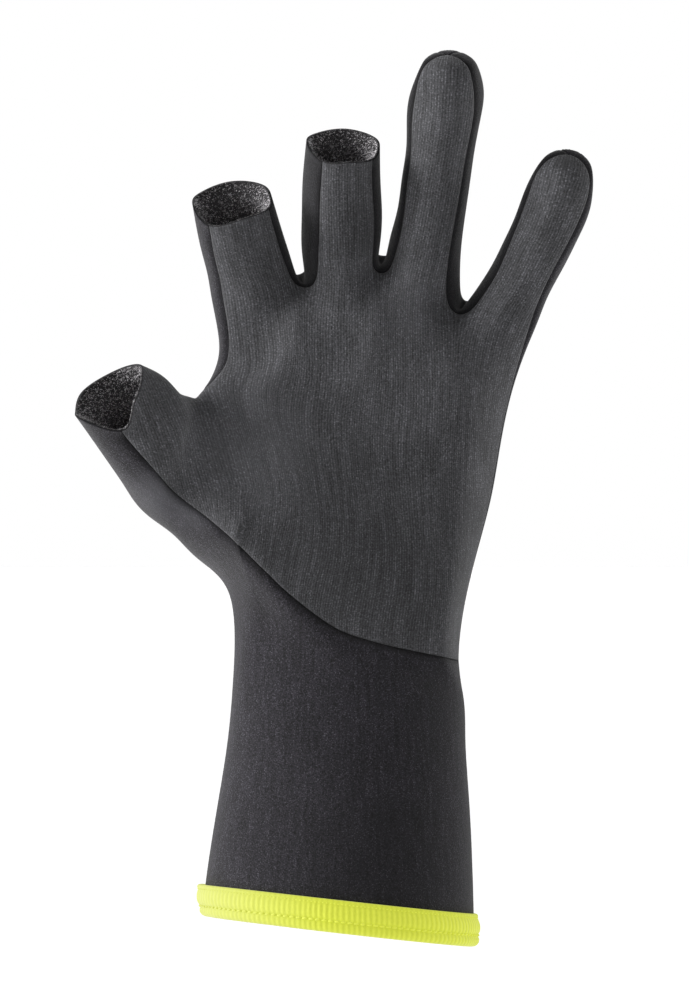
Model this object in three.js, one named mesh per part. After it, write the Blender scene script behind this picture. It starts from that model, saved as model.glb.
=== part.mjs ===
// Left-hand neoprene fishing glove, filled as when it is worn and standing on its long cuff.
// Thumb, index and middle finger are cut short and open; ring and little finger are closed.
// Millimetres. +Z runs from the cuff to the fingertips, the palm faces -Y and the thumb is at -X.
// The origin is the middle of the cuff's opening.
import * as THREE from 'three';

// Walls and joins
const PANEL_WALL = 1.7;
const LINING_WALL = 0.8;
const PIECE_GAP = 0.3;
const SEAM_GAP = 0.38;

// The hem binding, a band folded over the cuff's lower edge
const BAND_WALL = 0.9;
const BAND_BELLY = 0.8;
const BAND_DROP = 1.2;

// Sharpest turn that a seam gap's mitre follows, as the least value of 1 + cosine between its sides
const MITRE_LIMIT = 0.35;

// How many times the cage is fitted until its smooth surface passes through the sizes given here
const FIT_ROUNDS = 14;

// The cage of the glove has 26 columns round the cuff: one at the thumb side, 12 up the front,
// one at the little finger side and 12 up the back. Three front columns feed each finger.
const FRONT_COLUMNS = 12;

// Angles round the cuff, in degrees from the outer edge: the front columns end just past the
// outline, so that the palm seam can run along the outer edge of the palm.
const CUFF_FRONT_END = -4;
const CUFF_EDGE = -24;
const CUFF_BACK_START = -166;
const CUFF_BACK_END = -44;

// Part of a half circle that the columns at the wrist seam take up
const WRIST_START = 0.12;
const WRIST_END = 0.93;

// Columns at which the depths of a hand ring are read, counted from the thumb side
const FRONT_DEPTHS_AT = [0, 2, 5.5, 9, 10.2, 11];
const BACK_DEPTHS_AT = [0, 2.5, 6, 9, 11];

// How far a hand ring's depth has gone from the heel to the edge at the last columns
const FRONT_ROUNDING = 0.36;
const BACK_ROUNDING = 0.25;

// From the palm seam on the outer edge of the hand: to the edge column and to the first back column
const EDGE_STEP = { x: -1.6, y: 6.5, z: 0.5 };
const BACK_STEP = { x: -6, z: 1 };

const KNIT_GREY = 0x4a4b4e;
const JERSEY_DARK = 0x312f34;
const STRIP_DARK = 0x232226;
const LINING_BLACK = 0x1a1a1b;
const HEM_LIME = 0xd3e04a;

function table(names, rows) {
  return rows.map((row) => Object.fromEntries(names.map((name, i) => [name, row[i]])));
}

// Cuff rings from the hem up to just under the wrist seam: outline points on both sides in the
// front view, half the depth front to back, how much of the wrist seam's sweep the ring takes, and
// the angle of its first front column.
const CUFF_RINGS = table(
  ['leftX', 'leftZ', 'rightX', 'rightZ', 'halfDepth', 'sweep', 'frontStart'],
  [
    [-44.5, 5.5, 44.2, -4.5, 34.0, 0.0, 166],
    [-44.5, 14.5, 44.2, 5.0, 33.5, 0.0, 166],
    [-41.0, 38.0, 43.6, 25.0, 31.4, 0.0, 166],
    [-37.2, 62.0, 42.6, 44.0, 28.6, 0.04, 165],
    [-35.2, 85.0, 41.5, 61.5, 26.4, 0.15, 160],
    [-36.3, 110.5, 40.9, 76.0, 25.0, 0.42, 150],
  ],
);

// Seam between palm panel and cuff, from the thumb's root to the outer edge of the wrist
const WRIST_SEAM = table(
  ['x', 'z'],
  [
    [-37.0, 130.0],
    [-27.5, 121.2],
    [-18.0, 112.0],
    [-8.5, 104.5],
    [0.0, 99.0],
    [13.5, 94.5],
    [27.0, 91.5],
    [39.3, 89.0],
  ],
);

// Hand rings from the wrist seam up to just under the knuckles. The thumb-side points of the
// first four rings lie round the thumb's root. Depths are read across the ring, front then back.
const HAND_RINGS = table(
  [
    'frontRootX', 'frontRootZ', 'backRootX', 'backRootZ', 'edgeX', 'edgeZ',
    'frontRootY', 'thenarY', 'hollowY', 'heelY', 'edgeY', 'backRootY', 'backThumbY', 'backMidY', 'backHeelY',
  ],
  [
    [-37.0, 130.0, -41.5, 126.0, 39.3, 89.0, -26, -26.5, -23.5, -17, -1, 8, 21, 23, 18],
    [-30.5, 143.0, -42.0, 142.0, 41.0, 106.0, -26, -26.5, -24.5, -18.5, 0, 13, 20, 21.5, 17],
    [-32.0, 158.5, -41.0, 161.0, 45.2, 124.5, -24.5, -25.5, -23.5, -18.5, 0, 12, 19, 20.5, 16],
    [-42.3, 178.2, -43.5, 176.9, 49.8, 143.0, -16.5, -22, -21.5, -18.5, 0, 4, 15, 19, 16],
    [-38.0, 186.5, -38.5, 187.5, 53.0, 161.5, -11, -18, -19.5, -17.5, 0, 7, 14, 18, 15],
    [-37.0, 197.5, -37.5, 198.5, 57.0, 179.5, -9, -15, -17.5, -17, -2, 8, 13, 17, 13],
  ],
);

// Thumb-side column of the hand: under the thumb, in the crotch over it, then up to the index finger
const THUMB_SIDE = table(
  ['ring', 'x', 'y', 'z'],
  [
    [0, -47.6, -5, 123.2],
    [3, -47.0, -6, 175.3],
    [4, -41.0, -2, 186.0],
    [5, -40.3, -1, 197.0],
  ],
);

// Finger stations from the root out: outline points on the thumb side (left) and the little finger
// side (right) in the front view, depth of the middle, half the thickness, lean toward the palm,
// and how far round from the outline the palm seams lie, both angles in degrees.
const STATION = [
  'leftX', 'leftZ', 'rightX', 'rightZ', 'centreY', 'halfDepth', 'lean', 'leftSeam', 'rightSeam',
];

const INDEX = table(STATION, [
  [-42.4, 208.5, -14.0, 215.2, -1, 14.0, 15, 40, 24],
  [-43.9, 217.0, -16.5, 222.5, -4, 13.0, 24, 42, 30],
  [-46.3, 226.5, -19.0, 230.5, -9, 12.3, 30, 45, 30],
  [-48.6, 239.0, -22.7, 242.8, -16, 12.2, 31, 48, 30],
]);

const MIDDLE = table(STATION, [
  [-11.8, 215.2, 12.7, 221.2, -2, 14.0, 22, 36, 34],
  [-12.5, 224.0, 13.3, 227.5, -5, 13.2, 24, 50, 38],
  [-12.5, 235.0, 13.9, 236.5, -9, 12.5, 26, 53, 37],
  [-12.2, 246.5, 13.4, 247.0, -14, 12.2, 27, 55, 37],
  [-11.0, 259.5, 13.2, 258.5, -20, 12.2, 27, 57, 36],
]);

const RING = table(STATION, [
  [14.8, 221.2, 39.5, 207.5, -1, 14.0, 22, 36, 36],
  [16.4, 228.0, 39.7, 221.0, -4, 13.2, 20, 42, 43],
  [19.0, 238.0, 41.1, 234.0, -8, 12.3, 20, 37, 43],
  [20.5, 248.5, 42.9, 246.5, -12, 11.8, 22, 32, 42],
  [22.0, 259.0, 44.6, 258.5, -17, 11.6, 26, 28, 42],
  [22.2, 269.5, 46.7, 270.0, -23, 11.6, 30, 27, 41],
  [23.8, 278.0, 47.2, 278.3, -29, 11.0, 30, 24, 42],
  [26.9, 285.2, 44.9, 285.2, -34, 8.0, 18, 24, 44],
]);

const LITTLE = table(STATION, [
  [41.6, 206.8, 63.8, 197.5, 0, 12.5, 14, 37, 28],
  [49.0, 217.5, 68.4, 208.5, -3, 11.5, 18, 40, 36],
  [53.9, 227.0, 73.8, 218.7, -7, 10.9, 22, 36, 42],
  [58.2, 236.2, 78.9, 229.0, -12, 10.6, 25, 29, 40],
  [62.2, 246.5, 82.9, 240.0, -17, 10.3, 28, 25, 32],
  [66.4, 253.6, 83.2, 249.6, -22, 8.3, 16, 24, 26],
]);

const THUMB = table(STATION, [
  [-59.6, 133.9, -49.0, 175.8, -11.5, 16.0, 24, 57],
  [-69.8, 145.3, -53.0, 177.2, -19.7, 16.4, 28, 60],
  [-79.0, 158.2, -57.4, 182.0, -27, 14.3, 29, 62],
  [-86.6, 169.3, -64.2, 185.4, -35, 12.9, 29, 71],
]);

// Where the cage columns of the thumb after its left palm seam lie round it, in degrees from the
// outline over the thumb. The fourth is the palm seam behind its top.
const THUMB_COLUMN_ANGLES = [80, 50, 22, -12, -50, -90, -130, -165, 158];

// How far the three open ends are cut back along the finger, at the first points of the end ring.
// The ring starts at the left palm seam and goes over the palm. Less than 0 is let out.
const THUMB_CUT_BACK = [8, 3.2, 0, -1.6, -0.3, 1, 0.5, -0.8];
const INDEX_CUT_BACK = [3.3, 1.2, 2];
const MIDDLE_CUT_BACK = [1.6, 0.7, 1.6];

// Back seams of the finger strips, in degrees round from the outline
const BACK_SEAM = 40;

// Fingertip poles: where the four panels of a closed finger meet
const RING_TIP = new THREE.Vector3(36.0, -32.0, 290.0);
const LITTLE_TIP = new THREE.Vector3(76.4, -20.3, 257.5);

const degrees = THREE.MathUtils.degToRad;
const lerp = THREE.MathUtils.lerp;

// A smooth curve through values given at ascending places
function through(places, values, at) {
  const last = places.length - 1;
  let i = 0;
  while (i < last - 1 && at > places[i + 1]) i += 1;
  const slope = (k) => {
    const a = Math.max(k - 1, 0);
    const b = Math.min(k + 1, last);
    return (values[b] - values[a]) / (places[b] - places[a]);
  };
  const span = places[i + 1] - places[i];
  const t = (at - places[i]) / span;
  const start = values[i] * (2 * t ** 3 - 3 * t ** 2 + 1) + slope(i) * span * (t ** 3 - 2 * t ** 2 + t);
  const end = values[i + 1] * (3 * t ** 2 - 2 * t ** 3) + slope(i + 1) * span * (t ** 3 - t ** 2);
  return start + end;
}

// The cage: points, and quads that each carry the name of a panel and of the finger that they cover
class Cage {
  constructor() {
    this.points = [];
    this.quads = [];
  }

  point(x, y, z) {
    this.points.push(new THREE.Vector3(x, y, z));
    return this.points.length - 1;
  }

  quad(corners, panel, finger, row) {
    this.quads.push({ corners, panel, finger, row });
  }

  // Quads between two rings of equal length, from ring position `from` to `to`
  band(lower, upper, from, to, panelOf, finger, row) {
    for (let i = from; i < to; i += 1) {
      const next = (i + 1) % lower.length;
      this.quad([lower[i], lower[next], upper[next], upper[i]], panelOf(i), finger, row);
    }
  }
}

// One ring across a finger: points at the given angles round an ellipse that leans toward the palm
function ringAcross(cage, station, angles) {
  const left = new THREE.Vector3(station.leftX, 0, station.leftZ);
  const right = new THREE.Vector3(station.rightX, 0, station.rightZ);
  const centre = left.clone().add(right).multiplyScalar(0.5).setY(station.centreY);
  const half = right.clone().sub(left).multiplyScalar(0.5);
  const along = new THREE.Vector3(-half.z, 0, half.x).normalize();
  const lean = degrees(station.lean);
  const toPalm = along.multiplyScalar(-Math.sin(lean)).setY(-Math.cos(lean));
  return angles.map((angle) => {
    const p = centre.clone();
    p.addScaledVector(half, Math.cos(degrees(angle)));
    p.addScaledVector(toPalm, station.halfDepth * Math.sin(degrees(angle)));
    return cage.point(p.x, p.y, p.z);
  });
}

// Moves the first points of an open end toward the ring before it
function cutBack(cage, rings, distances) {
  const [before, end] = rings.slice(-2);
  distances.forEach((distance, i) => {
    const p = cage.points[end[i]];
    const back = cage.points[before[i]].clone().sub(p).normalize();
    p.addScaledVector(back, distance);
  });
}

// A finger's ring runs: left palm seam, palm middle, right palm seam, right outline,
// right back seam, back middle, left back seam, left outline
function fingerRing(cage, station) {
  const { leftSeam, rightSeam } = station;
  const palmMiddle = 90 + (rightSeam - leftSeam) / 2;
  const angles = [
    180 - leftSeam, palmMiddle, rightSeam, 0,
    -BACK_SEAM, -90, BACK_SEAM - 180, 180,
  ];
  return ringAcross(cage, station, angles);
}

function fingerPanels(left, right) {
  return (i) => [
    'palm_panel', 'palm_panel', right, right,
    'back_and_cuff', 'back_and_cuff', left, left,
  ][i];
}

// Rings from a finger's root to its end, with its tip closed where one is given
function buildFinger(cage, name, rings, panelOf, tip) {
  for (let row = 1; row < rings.length; row += 1) {
    cage.band(rings[row - 1], rings[row], 0, rings[row].length, panelOf, name, row);
  }
  if (!tip) return;
  const pole = cage.point(tip.x, tip.y, tip.z);
  const end = rings[rings.length - 1];
  for (let i = 0; i < end.length; i += 2) {
    cage.quad([end[i], end[i + 1], end[(i + 2) % end.length], pole], panelOf(i), name);
  }
}

// A ring round the cuff: thumb side, front columns, outer edge, back columns
function cuffRing(cage, ring) {
  const middle = (ring.leftX + ring.rightX) / 2;
  const half = (ring.rightX - ring.leftX) / 2;
  const seamX = WRIST_SEAM.map((p) => p.x);
  const seamZ = WRIST_SEAM.map((p) => p.z);
  const first = WRIST_SEAM[0];
  const last = WRIST_SEAM[WRIST_SEAM.length - 1];
  const place = (angle, front) => {
    const across = (1 + Math.cos(degrees(angle))) / 2;
    let z = lerp(ring.leftZ, ring.rightZ, across);
    if (front) {
      const x = lerp(first.x, last.x, across);
      z += ring.sweep * (through(seamX, seamZ, x) - lerp(first.z, last.z, across));
    }
    const y = -ring.halfDepth * Math.sin(degrees(angle));
    return cage.point(middle + half * Math.cos(degrees(angle)), y, z);
  };
  const front = [];
  const back = [];
  for (let j = 0; j < FRONT_COLUMNS; j += 1) {
    const across = j / (FRONT_COLUMNS - 1);
    front.push(place(lerp(ring.frontStart, CUFF_FRONT_END, across), true));
    back.push(place(lerp(CUFF_BACK_START, CUFF_BACK_END, across), false));
  }
  return { side: place(180, false), front, edge: place(CUFF_EDGE, false), back };
}

// Front or back columns of a hand ring. `low` and `high` are the curves of points at the wrist and
// at the knuckles that the columns run between, and `rise` is how far up between them this ring is.
function handColumns(cage, ends, depthPlaces, depths, low, high, rise) {
  const last = FRONT_COLUMNS - 1;
  const columns = [];
  for (let j = 0; j <= last; j += 1) {
    const across = j / last;
    const blend = (axis) => {
      const between = (k) => lerp(low[k][axis], high[k][axis], rise);
      const shift = lerp(ends[0][axis] - between(0), ends[1][axis] - between(last), across);
      return between(j) + shift;
    };
    columns.push(cage.point(blend('x'), through(depthPlaces, depths, j), blend('z')));
  }
  return columns;
}

function handRing(cage, ring, rise, wrist, knuckles) {
  const frontEnds = [
    { x: ring.frontRootX, z: ring.frontRootZ },
    { x: ring.edgeX, z: ring.edgeZ },
  ];
  const backEnds = [
    { x: ring.backRootX, z: ring.backRootZ },
    { x: ring.edgeX + BACK_STEP.x, z: ring.edgeZ + BACK_STEP.z },
  ];
  const frontRound = lerp(ring.heelY, ring.edgeY, FRONT_ROUNDING);
  const backRound = lerp(ring.backHeelY, ring.edgeY, BACK_ROUNDING);
  const frontDepths = [
    ring.frontRootY, ring.thenarY, ring.hollowY, ring.heelY, frontRound, ring.edgeY,
  ];
  const backDepths = [ring.backRootY, ring.backThumbY, ring.backMidY, ring.backHeelY, backRound];
  const front = handColumns(
    cage, frontEnds, FRONT_DEPTHS_AT, frontDepths, wrist.front, knuckles.front, rise,
  );
  const back = handColumns(
    cage, backEnds, BACK_DEPTHS_AT, backDepths, wrist.back, knuckles.back, rise,
  );
  const edge = cage.point(
    ring.edgeX + EDGE_STEP.x, ring.edgeY + EDGE_STEP.y, ring.edgeZ + EDGE_STEP.z,
  );
  return { front, back, edge };
}

// The curve of columns along the wrist seam in front, and straight across behind
function wristCurves() {
  const seamX = WRIST_SEAM.map((p) => p.x);
  const seamZ = WRIST_SEAM.map((p) => p.z);
  const last = FRONT_COLUMNS - 1;
  const first = HAND_RINGS[0];
  const across = (part) => Math.cos(Math.PI * part);
  const front = [];
  const back = [];
  for (let j = 0; j <= last; j += 1) {
    const here = across(lerp(WRIST_START, WRIST_END, j / last));
    const reach = (across(WRIST_START) - here) / (across(WRIST_START) - across(WRIST_END));
    const x = lerp(seamX[0], seamX[seamX.length - 1], reach);
    front.push({ x, z: through(seamX, seamZ, x) });
    back.push({
      x: lerp(first.backRootX, first.edgeX + BACK_STEP.x, j / last),
      z: lerp(first.backRootZ, first.edgeZ + BACK_STEP.z, j / last),
    });
  }
  return { front, back };
}

function ringPoints(hand) {
  return [hand.side, ...hand.front, hand.edge, ...hand.back.slice().reverse()];
}

function buildCage() {
  const cage = new Cage();
  const fingers = [INDEX, MIDDLE, RING, LITTLE].map((rows) => rows.map((row) => fingerRing(cage, row)));
  const roots = fingers.map((rings) => rings[0]);
  const at = (id) => cage.points[id];
  cutBack(cage, fingers[0], INDEX_CUT_BACK);
  cutBack(cage, fingers[1], MIDDLE_CUT_BACK);

  // The knuckle ring is the four finger roots side by side
  const knuckles = {
    side: roots[0][7],
    front: roots.flatMap((ring) => [ring[0], ring[1], ring[2]]),
    edge: roots[3][3],
    back: roots.flatMap((ring) => [ring[6], ring[5], ring[4]]),
  };
  const knuckleCurves = { front: knuckles.front.map(at), back: knuckles.back.map(at) };
  const wrist = wristCurves();

  const hand = HAND_RINGS.map((ring, row) => (
    handRing(cage, ring, row / HAND_RINGS.length, wrist, knuckleCurves)
  ));
  THUMB_SIDE.forEach(({ ring, x, y, z }) => {
    hand[ring].side = cage.point(x, y, z);
  });
  hand.push(knuckles);
  const cuff = CUFF_RINGS.map((ring) => cuffRing(cage, ring));
  cuff.push(hand[0]);

  // Cuff, all one panel
  for (let row = 1; row < cuff.length; row += 1) {
    const lower = ringPoints(cuff[row - 1]);
    cage.band(lower, ringPoints(cuff[row]), 0, lower.length, () => 'back_and_cuff', 'cuff');
  }

  // Hand above the wrist: front columns are the palm panel; beside the thumb's root the ring is open
  const handPanel = (i) => (i >= 1 && i < FRONT_COLUMNS ? 'palm_panel' : 'back_and_cuff');
  for (let row = 1; row < hand.length; row += 1) {
    const lower = ringPoints(hand[row - 1]);
    const upper = ringPoints(hand[row]);
    const besideThumb = row <= THUMB_SIDE[1].ring;
    const from = besideThumb ? 1 : 0;
    const to = besideThumb ? lower.length - 1 : lower.length;
    cage.band(lower, upper, from, to, handPanel, 'hand');
  }

  // Webs between neighbouring fingers
  const strips = ['fourchette_index_middle', 'fourchette_middle_ring', 'fourchette_ring_little'];
  strips.forEach((strip, i) => {
    const a = roots[i];
    const b = roots[i + 1];
    cage.quad([a[2], b[0], b[7], a[3]], strip, 'web');
    cage.quad([a[3], b[7], b[6], a[4]], strip, 'web');
  });

  buildFinger(cage, 'index', fingers[0], fingerPanels('back_and_cuff', strips[0]));
  buildFinger(cage, 'middle', fingers[1], fingerPanels(strips[0], strips[1]));
  buildFinger(cage, 'ring', fingers[2], fingerPanels(strips[1], strips[2]), RING_TIP);
  buildFinger(cage, 'little', fingers[3], fingerPanels(strips[2], 'back_and_cuff'), LITTLE_TIP);

  // The thumb grows from the opening between the first and fourth hand rings
  const topRing = THUMB_SIDE[1].ring;
  const rootRings = hand.slice(0, topRing + 1);
  const thumbRoot = [
    ...rootRings.map((ring) => ring.front[0]),
    hand[topRing].side,
    ...rootRings.reverse().map((ring) => ring.back[0]),
    hand[0].side,
  ];
  const thumbRings = THUMB.map((station) => (
    ringAcross(cage, station, [180 - station.leftSeam, ...THUMB_COLUMN_ANGLES])
  ));
  cutBack(cage, thumbRings, THUMB_CUT_BACK);
  const thumbPanel = (i) => (i < 4 ? 'palm_panel' : 'back_and_cuff');
  buildFinger(cage, 'thumb', [thumbRoot, ...thumbRings], thumbPanel);
  return cage;
}

const edgeKey = (a, b) => (a < b ? `${a} ${b}` : `${b} ${a}`);

// Neighbours of each point: points along edges, points across quads, and the open rim's two points
function neighbourhoods(points, quads) {
  const edges = new Map();
  quads.forEach(({ corners }, quad) => {
    corners.forEach((a, i) => {
      const b = corners[(i + 1) % 4];
      const key = edgeKey(a, b);
      if (!edges.has(key)) edges.set(key, { a, b, quads: [] });
      edges.get(key).quads.push(quad);
    });
  });
  const near = points.map(() => ({ edge: [], diagonal: [], rim: [] }));
  edges.forEach(({ a, b, quads: sides }) => {
    near[a].edge.push(b);
    near[b].edge.push(a);
    if (sides.length === 1) {
      near[a].rim.push(b);
      near[b].rim.push(a);
    }
  });
  quads.forEach(({ corners }) => {
    corners.forEach((a, i) => near[a].diagonal.push(corners[(i + 2) % 4]));
  });
  return { edges, near };
}

const sumOf = (points, ids) => ids.reduce((sum, id) => sum.add(points[id]), new THREE.Vector3());

// Where each cage point lands on the smooth surface that the cage defines
function limitPoints(points, near) {
  return points.map((p, i) => {
    const { edge, diagonal, rim } = near[i];
    if (rim.length) return p.clone().multiplyScalar(4).add(sumOf(points, rim)).divideScalar(6);
    const n = edge.length;
    const limit = p.clone().multiplyScalar(n * n);
    limit.addScaledVector(sumOf(points, edge), 4).add(sumOf(points, diagonal));
    return limit.divideScalar(n * (n + 5));
  });
}

// Moves the cage until its smooth surface passes through the points that it was given
function fitCage(cage) {
  const { near } = neighbourhoods(cage.points, cage.quads);
  let fitted = cage.points.map((p) => p.clone());
  for (let round = 0; round < FIT_ROUNDS; round += 1) {
    const limit = limitPoints(fitted, near);
    fitted = fitted.map((p, i) => p.clone().add(cage.points[i]).sub(limit[i]));
  }
  return { points: fitted, quads: cage.quads };
}

// One round of Catmull-Clark subdivision
function subdivide({ points, quads }) {
  const { edges, near } = neighbourhoods(points, quads);
  const centres = quads.map(({ corners }) => sumOf(points, corners).divideScalar(4));
  const middles = new Map();
  const finer = points.map(() => null);
  edges.forEach((edge, key) => {
    const middle = points[edge.a].clone().add(points[edge.b]);
    if (edge.quads.length === 2) {
      middle.add(centres[edge.quads[0]]).add(centres[edge.quads[1]]).divideScalar(4);
    } else {
      middle.divideScalar(2);
    }
    middles.set(key, finer.length);
    finer.push(middle);
  });
  const facesRound = points.map(() => []);
  quads.forEach(({ corners }, quad) => corners.forEach((a) => facesRound[a].push(quad)));
  points.forEach((p, i) => {
    const { edge, rim } = near[i];
    if (rim.length) {
      finer[i] = p.clone().multiplyScalar(6).add(sumOf(points, rim)).divideScalar(8);
      return;
    }
    const n = edge.length;
    const average = p.clone().multiplyScalar(n - 2);
    average.addScaledVector(sumOf(points, edge), 1 / n);
    average.addScaledVector(sumOf(centres, facesRound[i]), 1 / n);
    finer[i] = average.divideScalar(n);
  });
  const smaller = [];
  quads.forEach(({ corners, panel, finger, row }, quad) => {
    const centre = finer.length;
    finer.push(centres[quad]);
    const side = corners.map((a, i) => middles.get(edgeKey(a, corners[(i + 1) % 4])));
    corners.forEach((corner, i) => {
      smaller.push({ corners: [corner, side[i], centre, side[(i + 3) % 4]], panel, finger, row });
    });
  });
  return { points: finer, quads: smaller };
}

// The glove's outer face: fine points on the smooth surface, with their outward directions
function buildSkin() {
  const fine = subdivide(fitCage(buildCage()));
  const { edges, near } = neighbourhoods(fine.points, fine.quads);
  const points = limitPoints(fine.points, near);
  const outward = points.map(() => new THREE.Vector3());
  fine.quads.forEach((quad) => {
    const [a, b, c, d] = quad.corners.map((id) => points[id]);
    quad.outward = c.clone().sub(a).cross(d.clone().sub(b));
    quad.corners.forEach((id) => outward[id].add(quad.outward));
    quad.outward = quad.outward.clone().normalize();
  });
  outward.forEach((direction) => direction.normalize());
  return { points, quads: fine.quads, outward, edges };
}

function bodyOf(vertices, triangles) {
  const geometry = new THREE.BufferGeometry();
  const flat = vertices.flatMap((v) => [v.x, v.y, v.z]);
  geometry.setAttribute('position', new THREE.Float32BufferAttribute(flat, 3));
  geometry.setIndex(triangles.flat());
  geometry.computeVertexNormals();
  return geometry;
}

// A closed wall between two depths under the skin, over the chosen quads. Where it meets another
// panel at a seam its rim is drawn back by half the gap.
function wallOver(skin, quads, outerDepth, innerDepth) {
  const uses = new Map();
  quads.forEach((quad) => {
    quad.corners.forEach((a, i) => {
      const b = quad.corners[(i + 1) % 4];
      const key = edgeKey(a, b);
      if (uses.has(key)) uses.delete(key);
      else uses.set(key, { a, b, quad });
    });
  });
  const rim = [...uses.values()];
  const drawn = new Map();
  rim.forEach(({ a, b, quad }) => {
    if (skin.edges.get(edgeKey(a, b)).quads.length === 1) return;
    const along = skin.points[b].clone().sub(skin.points[a]).normalize();
    const inward = quad.outward.clone().cross(along).normalize();
    [a, b].forEach((id) => {
      if (!drawn.has(id)) drawn.set(id, []);
      drawn.get(id).push(inward);
    });
  });
  const shiftOf = (id) => {
    const directions = drawn.get(id);
    if (!directions) return new THREE.Vector3();
    if (directions.length === 1) return directions[0].clone().multiplyScalar(SEAM_GAP / 2);
    const [first, second] = directions;
    const mitre = first.clone().add(second);
    return mitre.multiplyScalar(SEAM_GAP / 2 / Math.max(1 + first.dot(second), MITRE_LIMIT));
  };

  const used = [...new Set(quads.flatMap((quad) => quad.corners))];
  const outer = new Map(used.map((id, i) => [id, i]));
  const inner = new Map(used.map((id, i) => [id, used.length + i]));
  const layer = (depth) => used.map((id) => (
    skin.points[id].clone().add(shiftOf(id)).addScaledVector(skin.outward[id], -depth)
  ));
  const vertices = [...layer(outerDepth), ...layer(innerDepth)];
  const triangles = [];
  quads.forEach(({ corners }) => {
    const [a, b, c, d] = corners.map((id) => outer.get(id));
    triangles.push([a, b, c], [a, c, d]);
    const [e, f, g, h] = corners.map((id) => inner.get(id));
    triangles.push([g, f, e], [h, g, e]);
  });
  rim.forEach(({ a, b }) => {
    triangles.push([outer.get(b), outer.get(a), inner.get(a)]);
    triangles.push([outer.get(b), inner.get(a), inner.get(b)]);
  });
  return bodyOf(vertices, triangles);
}

// The cuff's lower rim in order round it, and the loops of points one and two steps above it
function hemLoops(skin) {
  const ahead = new Map();
  skin.quads.forEach(({ corners }) => {
    corners.forEach((a, i) => ahead.set(`${a} ${corners[(i + 1) % 4]}`, corners[(i + 3) % 4]));
  });
  const next = new Map();
  skin.quads.filter((quad) => quad.finger === 'cuff').forEach(({ corners }) => {
    corners.forEach((a, i) => {
      const b = corners[(i + 1) % 4];
      if (skin.edges.get(edgeKey(a, b)).quads.length === 1) next.set(a, b);
    });
  });
  const rim = [next.keys().next().value];
  while (next.get(rim[rim.length - 1]) !== rim[0]) rim.push(next.get(rim[rim.length - 1]));
  const above = (loop) => loop.map((a, i) => ahead.get(`${a} ${loop[(i + 1) % loop.length]}`));
  return [rim, above(rim), above(above(rim))];
}

// The binding: a folded band, U-shaped in section, swept round the hem with the cuff's edge in it.
// Each section point is a step above the rim, a height over the skin and a drop below that step.
function buildBinding(skin) {
  const over = PIECE_GAP;
  const under = -PANEL_WALL - PIECE_GAP;
  const section = [
    [0, over + BAND_WALL, BAND_DROP],
    [1, over + BAND_WALL + BAND_BELLY, 0],
    [2, over + BAND_WALL, 0],
    [2, over, 0],
    [1, over, 0],
    [0, over, PIECE_GAP],
    [0, under, PIECE_GAP],
    [1, under, 0],
    [2, under, 0],
    [2, under - BAND_WALL, 0],
    [1, under - BAND_WALL, 0],
    [0, under - BAND_WALL, BAND_DROP],
  ];
  const loops = hemLoops(skin);
  const vertices = [];
  const triangles = [];
  const size = section.length;
  const count = loops[0].length;
  for (let i = 0; i < count; i += 1) {
    section.forEach(([step, height, drop]) => {
      const id = loops[step][i];
      const p = skin.points[id].clone().addScaledVector(skin.outward[id], height);
      p.z -= drop;
      vertices.push(p);
    });
  }
  for (let i = 0; i < count; i += 1) {
    const here = i * size;
    const there = ((i + 1) % count) * size;
    for (let j = 0; j < size; j += 1) {
      const k = (j + 1) % size;
      triangles.push([here + j, there + j, there + k], [here + j, there + k, here + k]);
    }
  }
  return bodyOf(vertices, triangles);
}

function cloth(color, roughness) {
  return new THREE.MeshStandardMaterial({ color, roughness, metalness: 0 });
}

function named(name, geometry, material) {
  const mesh = new THREE.Mesh(geometry, material);
  mesh.name = name;
  return mesh;
}

const skin = buildSkin();
const glove = new THREE.Group();

function addPanel(name, material) {
  const quads = skin.quads.filter((quad) => quad.panel === name);
  glove.add(named(name, wallOver(skin, quads, 0, PANEL_WALL), material));
}

// The lining of a cut finger, from one of its bands out to the opening
function addLining(finger, firstBand) {
  const quads = skin.quads.filter((quad) => quad.finger === finger && quad.row >= firstBand);
  const depth = PANEL_WALL + PIECE_GAP;
  const wall = wallOver(skin, quads, depth, depth + LINING_WALL);
  glove.add(named(`${finger}_lining`, wall, cloth(LINING_BLACK, 1)));
}

addPanel('palm_panel', cloth(KNIT_GREY, 0.85));
addPanel('back_and_cuff', cloth(JERSEY_DARK, 0.9));
addPanel('fourchette_index_middle', cloth(STRIP_DARK, 0.9));
addPanel('fourchette_middle_ring', cloth(STRIP_DARK, 0.9));
addPanel('fourchette_ring_little', cloth(STRIP_DARK, 0.9));
addLining('thumb', 2);
addLining('index', 2);
addLining('middle', 3);
glove.add(named('hem_binding', buildBinding(skin), cloth(HEM_LIME, 0.8)));

export default glove;
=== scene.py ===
import math

import bpy
import numpy as np
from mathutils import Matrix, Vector
from mathutils.bvhtree import BVHTree
from mathutils.kdtree import KDTree


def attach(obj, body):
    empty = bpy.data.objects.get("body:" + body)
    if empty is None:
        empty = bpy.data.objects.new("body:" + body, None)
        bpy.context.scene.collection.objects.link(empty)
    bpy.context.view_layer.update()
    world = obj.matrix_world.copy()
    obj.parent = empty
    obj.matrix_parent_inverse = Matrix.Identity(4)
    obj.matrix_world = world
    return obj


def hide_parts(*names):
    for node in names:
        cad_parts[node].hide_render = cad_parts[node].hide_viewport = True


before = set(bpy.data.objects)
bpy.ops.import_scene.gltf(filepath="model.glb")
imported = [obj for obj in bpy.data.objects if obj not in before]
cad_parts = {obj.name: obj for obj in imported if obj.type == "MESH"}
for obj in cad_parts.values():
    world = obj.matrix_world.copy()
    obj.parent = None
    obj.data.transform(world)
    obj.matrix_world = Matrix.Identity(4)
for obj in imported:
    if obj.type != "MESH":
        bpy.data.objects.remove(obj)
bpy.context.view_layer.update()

MM = 0.001


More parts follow.
